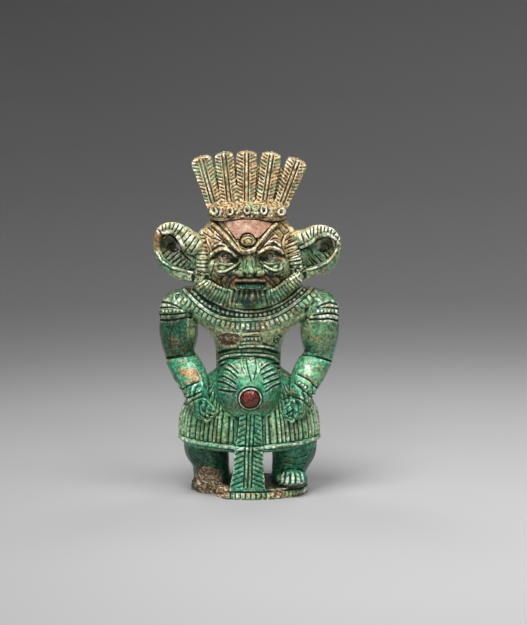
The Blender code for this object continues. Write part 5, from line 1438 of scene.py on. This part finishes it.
def faience():
    """Pooled dark glaze in the grooves and painted shade in the broad hollows, a mottled glaze on the slopes,
    worn pale body on the crests, and the ears' holes painted near black as shade.
    """
    m = Nodes("glazed_faience")
    speckle, mottle, blotch = m.noise(0.75, 2.0, 0.6), m.noise(1.4, 4.0, 0.6), m.noise(4.5, 3.0)
    tone, pool_and_shade, broken = m.attribute("tone", "Color"), m.attribute("pool_and_shade", "Color"), m.attribute("broken")
    colour = m.mix(m.ramp(blotch, 0.5, 0.7, 0.0, 0.3), tone, pool_and_shade)
    crest = m.math("ADD", m.attribute("ridge"), m.ramp(m.attribute("proud"), 0.1, 1.0, 0.0, 0.3))
    worn = m.math("MULTIPLY", m.ramp(crest, 0.25, 1.0), m.ramp(mottle, 0.42, 0.62, 1.0, 0.25))
    worn = m.math("MULTIPLY", worn, m.ramp(broken, 0.0, 1.0, 0.8, 0.2))
    colour = m.mix(worn, colour, m.mix(m.ramp(blotch, 0.46, 0.6), CREAM, STRAW))
    colour = m.mix(m.ramp(mottle, 0.5, 0.64, 0.0, 0.6), colour, pool_and_shade)
    flecks = m.ramp(m.noise(0.6, 2.0, 0.7), 0.52, 0.64)
    rusty = m.math("MULTIPLY", flecks, m.ramp(m.noise(6.0, 3.0), 0.44, 0.62, 0.05, 0.6))
    colour = m.mix(rusty, colour, RUST)
    colour = m.mix(m.ramp(m.noise(0.7, 2.0, 0.7), 0.56, 0.66, 0.0, 0.4), colour, TURQUOISE)
    colour = m.mix(1.0, colour, m.ramp(speckle, 0.34, 0.66, 0.55, 1.6), "MULTIPLY")
    groove = m.ramp(m.attribute("groove"), 0.05, 0.8)
    # Painted shade with real pooled glaze: the fine grooves take the darker glaze that pools there, and the
    # broad hollows are darkened as shade.
    pooled_glaze_and_shade = m.math("MAXIMUM", groove, m.ramp(m.attribute("broad_hollow_shade"), 0.15, 1.0))
    pooled_glaze_and_shade = m.math("MULTIPLY", pooled_glaze_and_shade, m.ramp(broken, 0.0, 1.0, 1.0, 0.6))
    colour = m.mix(pooled_glaze_and_shade, colour, pool_and_shade)
    # Painted shade: the walls of the ears' holes are coloured near black.
    colour = m.mix(m.attribute("pit"), colour, SHADE_BLACK)
    m.put(colour, m.shader.inputs["Base Color"])
    roughness = m.ramp(m.noise(0.9, 3.0), 0.35, 0.7, 0.12, 0.36)
    roughness = m.math("ADD", roughness, m.math("MULTIPLY", worn, 0.1))
    roughness = m.math("MAXIMUM", roughness, m.math("MULTIPLY", m.math("MAXIMUM", broken, pooled_glaze_and_shade), 0.85))
    m.put(roughness, m.shader.inputs["Roughness"])
    m.shader.inputs["Specular IOR Level"].default_value = 0.35
    m.bump(m.noise(0.7, 4.0), 0.16, 0.9)
    return m.material


def rose():
    m = Nodes("rose_paste")
    colour = m.mix(m.ramp(m.noise(1.4), 0.35, 0.7), (182, 140, 116), (150, 104, 78))
    colour = m.mix(m.ramp(m.noise(0.6), 0.56, 0.68), colour, (112, 76, 54))
    colour = m.mix(m.ramp(m.noise(2.2, 5.0, 0.7), 0.5, 0.7, 0.0, 0.8), colour, (222, 200, 180))
    m.put(colour, m.shader.inputs["Base Color"])
    m.put(m.ramp(m.noise(1.0), 0.3, 0.7, 0.35, 0.6), m.shader.inputs["Roughness"])
    m.bump(m.noise(0.5), 0.08, 0.8)
    return m.material


def red():
    m = Nodes("red_glaze")
    colour = m.mix(m.ramp(m.noise(0.9), 0.35, 0.62), (124, 40, 28), (52, 22, 15))
    colour = m.mix(m.ramp(m.noise(0.5), 0.58, 0.7, 0.0, 0.8), colour, (190, 122, 92))
    m.put(colour, m.shader.inputs["Base Color"])
    m.put(m.ramp(m.noise(0.7), 0.3, 0.7, 0.15, 0.45), m.shader.inputs["Roughness"])
    m.bump(m.noise(0.6), 0.15, 1.0)
    return m.material


def refined(mesh, amount, size, group):
    """An inlay remeshed finely, with soft edges and an uneven skin."""
    made = remeshed(mesh, INLAY_VOXEL, INLAY_SOFTENING, group)
    p, n = arrays_of(made)
    put_points(made, p + n * (amount * rough(p, size))[:, None])
    return made


def finished(mesh, name, material, group):
    """A visible piece that stands for the solid's node of the same name."""
    mesh.polygons.foreach_set("use_smooth", [True] * len(mesh.polygons))
    piece = object_from(mesh, name + "_look", group)
    piece.data.materials.clear()
    piece.data.materials.append(material)
    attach(piece, "root")
    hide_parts(name)
    return piece


def sculpt(group):
    """The figure: its forms fused, carved, thinned, cut for the inlays and painted."""
    lower = [*plinth(), *legs(), *kilt(), *tail()]
    upper = [*trunk(), *arms(), *head(), *ears(group), *headdress()]
    skin = fused([*lower, *upper], group)
    carve(skin)
    source, _ = arrays_of(skin)
    fine, broad = hollows(skin, FINE_PASSES), hollows(skin, BROAD_PASSES)
    skin = flat_underside(thinned(skin, SCULPT_TRIANGLES, group))
    socket = brow_shell(inlay_outline(INLAY_GAP), -INLAY_THICKNESS - INLAY_GAP, 2.5, group)
    skin = cut(skin, socket, "DIFFERENCE", group)
    skin = cut(skin, navel_cutter(), "DIFFERENCE", group)
    paint(skin, source, fine, broad)
    return skin


# Stage, light and camera.


def backdrop(group):
    """A pale round floor, darker away from the object, that curves up into a wall all round. Its grey,
    changing with distance from a bright middle, is painted light standing for how the studio light falls
    across it.
    """
    distances, greys = zip(*FLOOR_GREYS)
    profile = [(distance, 0.0) for distance in distances]
    profile += WALL
    shape = bmesh.new()
    rings = []
    turns = [2.0 * math.pi * i / FLOOR_SIDES for i in range(FLOOR_SIDES)]
    middle = (FLOOR_MIDDLE[0] * MM, FLOOR_MIDDLE[1] * MM)
    for distance, height in profile:
        reach = max(distance, 1.0) * MM
        rings.append([
            shape.verts.new((middle[0] + reach * math.cos(t), middle[1] + reach * math.sin(t), height * MM))
            for t in turns
        ])
    shape.faces.new(rings[0])
    for inner, outer in zip(rings, rings[1:]):
        for i in range(FLOOR_SIDES):
            after = (i + 1) % FLOOR_SIDES
            shape.faces.new((inner[i], outer[i], outer[after], inner[after]))
    mesh = mesh_from("backdrop", shape)
    points, _ = arrays_of(mesh)
    grey = np.interp(apart(points, FLOOR_MIDDLE), distances, greys)
    grey = grey * (1.0 + FLOOR_LIFT * np.clip(points[:, 0], -150.0, 150.0))
    put_colours(mesh, "tone", np.array([linear([value] * 3) for value in grey]))
    m = Nodes("backdrop_grey")
    m.put(m.attribute("tone", "Color"), m.shader.inputs["Base Color"])
    m.shader.inputs["Roughness"].default_value = 0.8
    m.shader.inputs["Specular IOR Level"].default_value = 0.05
    sweep = object_from(mesh, "backdrop", group)
    sweep.data.materials.append(m.material)
    mesh.polygons.foreach_set("use_smooth", [True] * len(mesh.polygons))


def softbox(name, place, width, height, watts, group):
    light = bpy.data.lights.new(name, "AREA")
    light.shape = "RECTANGLE"
    light.size, light.size_y = width * MM, height * MM
    light.energy = watts
    holder = object_from(light, name, group)
    holder.location = Vector(place) * MM
    holder.rotation_euler = (Vector(LIGHTS_AIM) - Vector(place)).to_track_quat("-Z", "Y").to_euler()


def lights(group):
    for row in LIGHTS:
        softbox(*row, group)
    world = bpy.data.worlds.new("studio")
    world.use_nodes = True
    world.node_tree.nodes["Background"].inputs["Color"].default_value = (*linear((200, 204, 210)), 1.0)
    world.node_tree.nodes["Background"].inputs["Strength"].default_value = 0.03
    bpy.context.scene.world = world


def camera(group):
    """The photograph's view: from a little above, 0.9 m away, with a long lens."""
    middle = Vector((VIEW_MIDDLE[0], 0.0, VIEW_MIDDLE[1]))
    view = bpy.data.cameras.new("camera")
    view.sensor_width = 24.0  # of the picture's long side, which is its height
    view.lens = view.sensor_width * VIEW_DISTANCE / PICTURE_HEIGHT
    view.clip_start = 0.01
    view.clip_end = 10.0
    holder = object_from(view, "camera", group)
    back = Vector((0.0, -math.cos(VIEW_PITCH), math.sin(VIEW_PITCH)))
    holder.location = (middle + back * VIEW_DISTANCE) * MM
    holder.rotation_euler = (math.pi / 2.0 - VIEW_PITCH, 0.0, 0.0)
    bpy.context.scene.camera = holder


def collection(name):
    made = bpy.data.collections.new(name)
    bpy.context.scene.collection.children.link(made)
    return made


def main():
    looks, workshop, studio = collection("looks"), collection("workshop"), collection("studio")
    finished(sculpt(workshop), "figure", faience(), looks)
    plaque = brow_shell(inlay_outline(0.0), -INLAY_THICKNESS, 0.2, workshop)
    finished(refined(plaque, 0.06, 1.5, workshop), "forehead_inlay", rose(), looks)
    disc = turned(NAVEL_INLAY_PROFILE, "disc", workshop)
    disc.transform(navel_place())
    finished(refined(disc, 0.12, 1.0, workshop), "navel_inlay", red(), looks)
    backdrop(studio)
    lights(studio)
    camera(studio)
    bpy.context.scene.view_settings.view_transform = "Standard"


main()
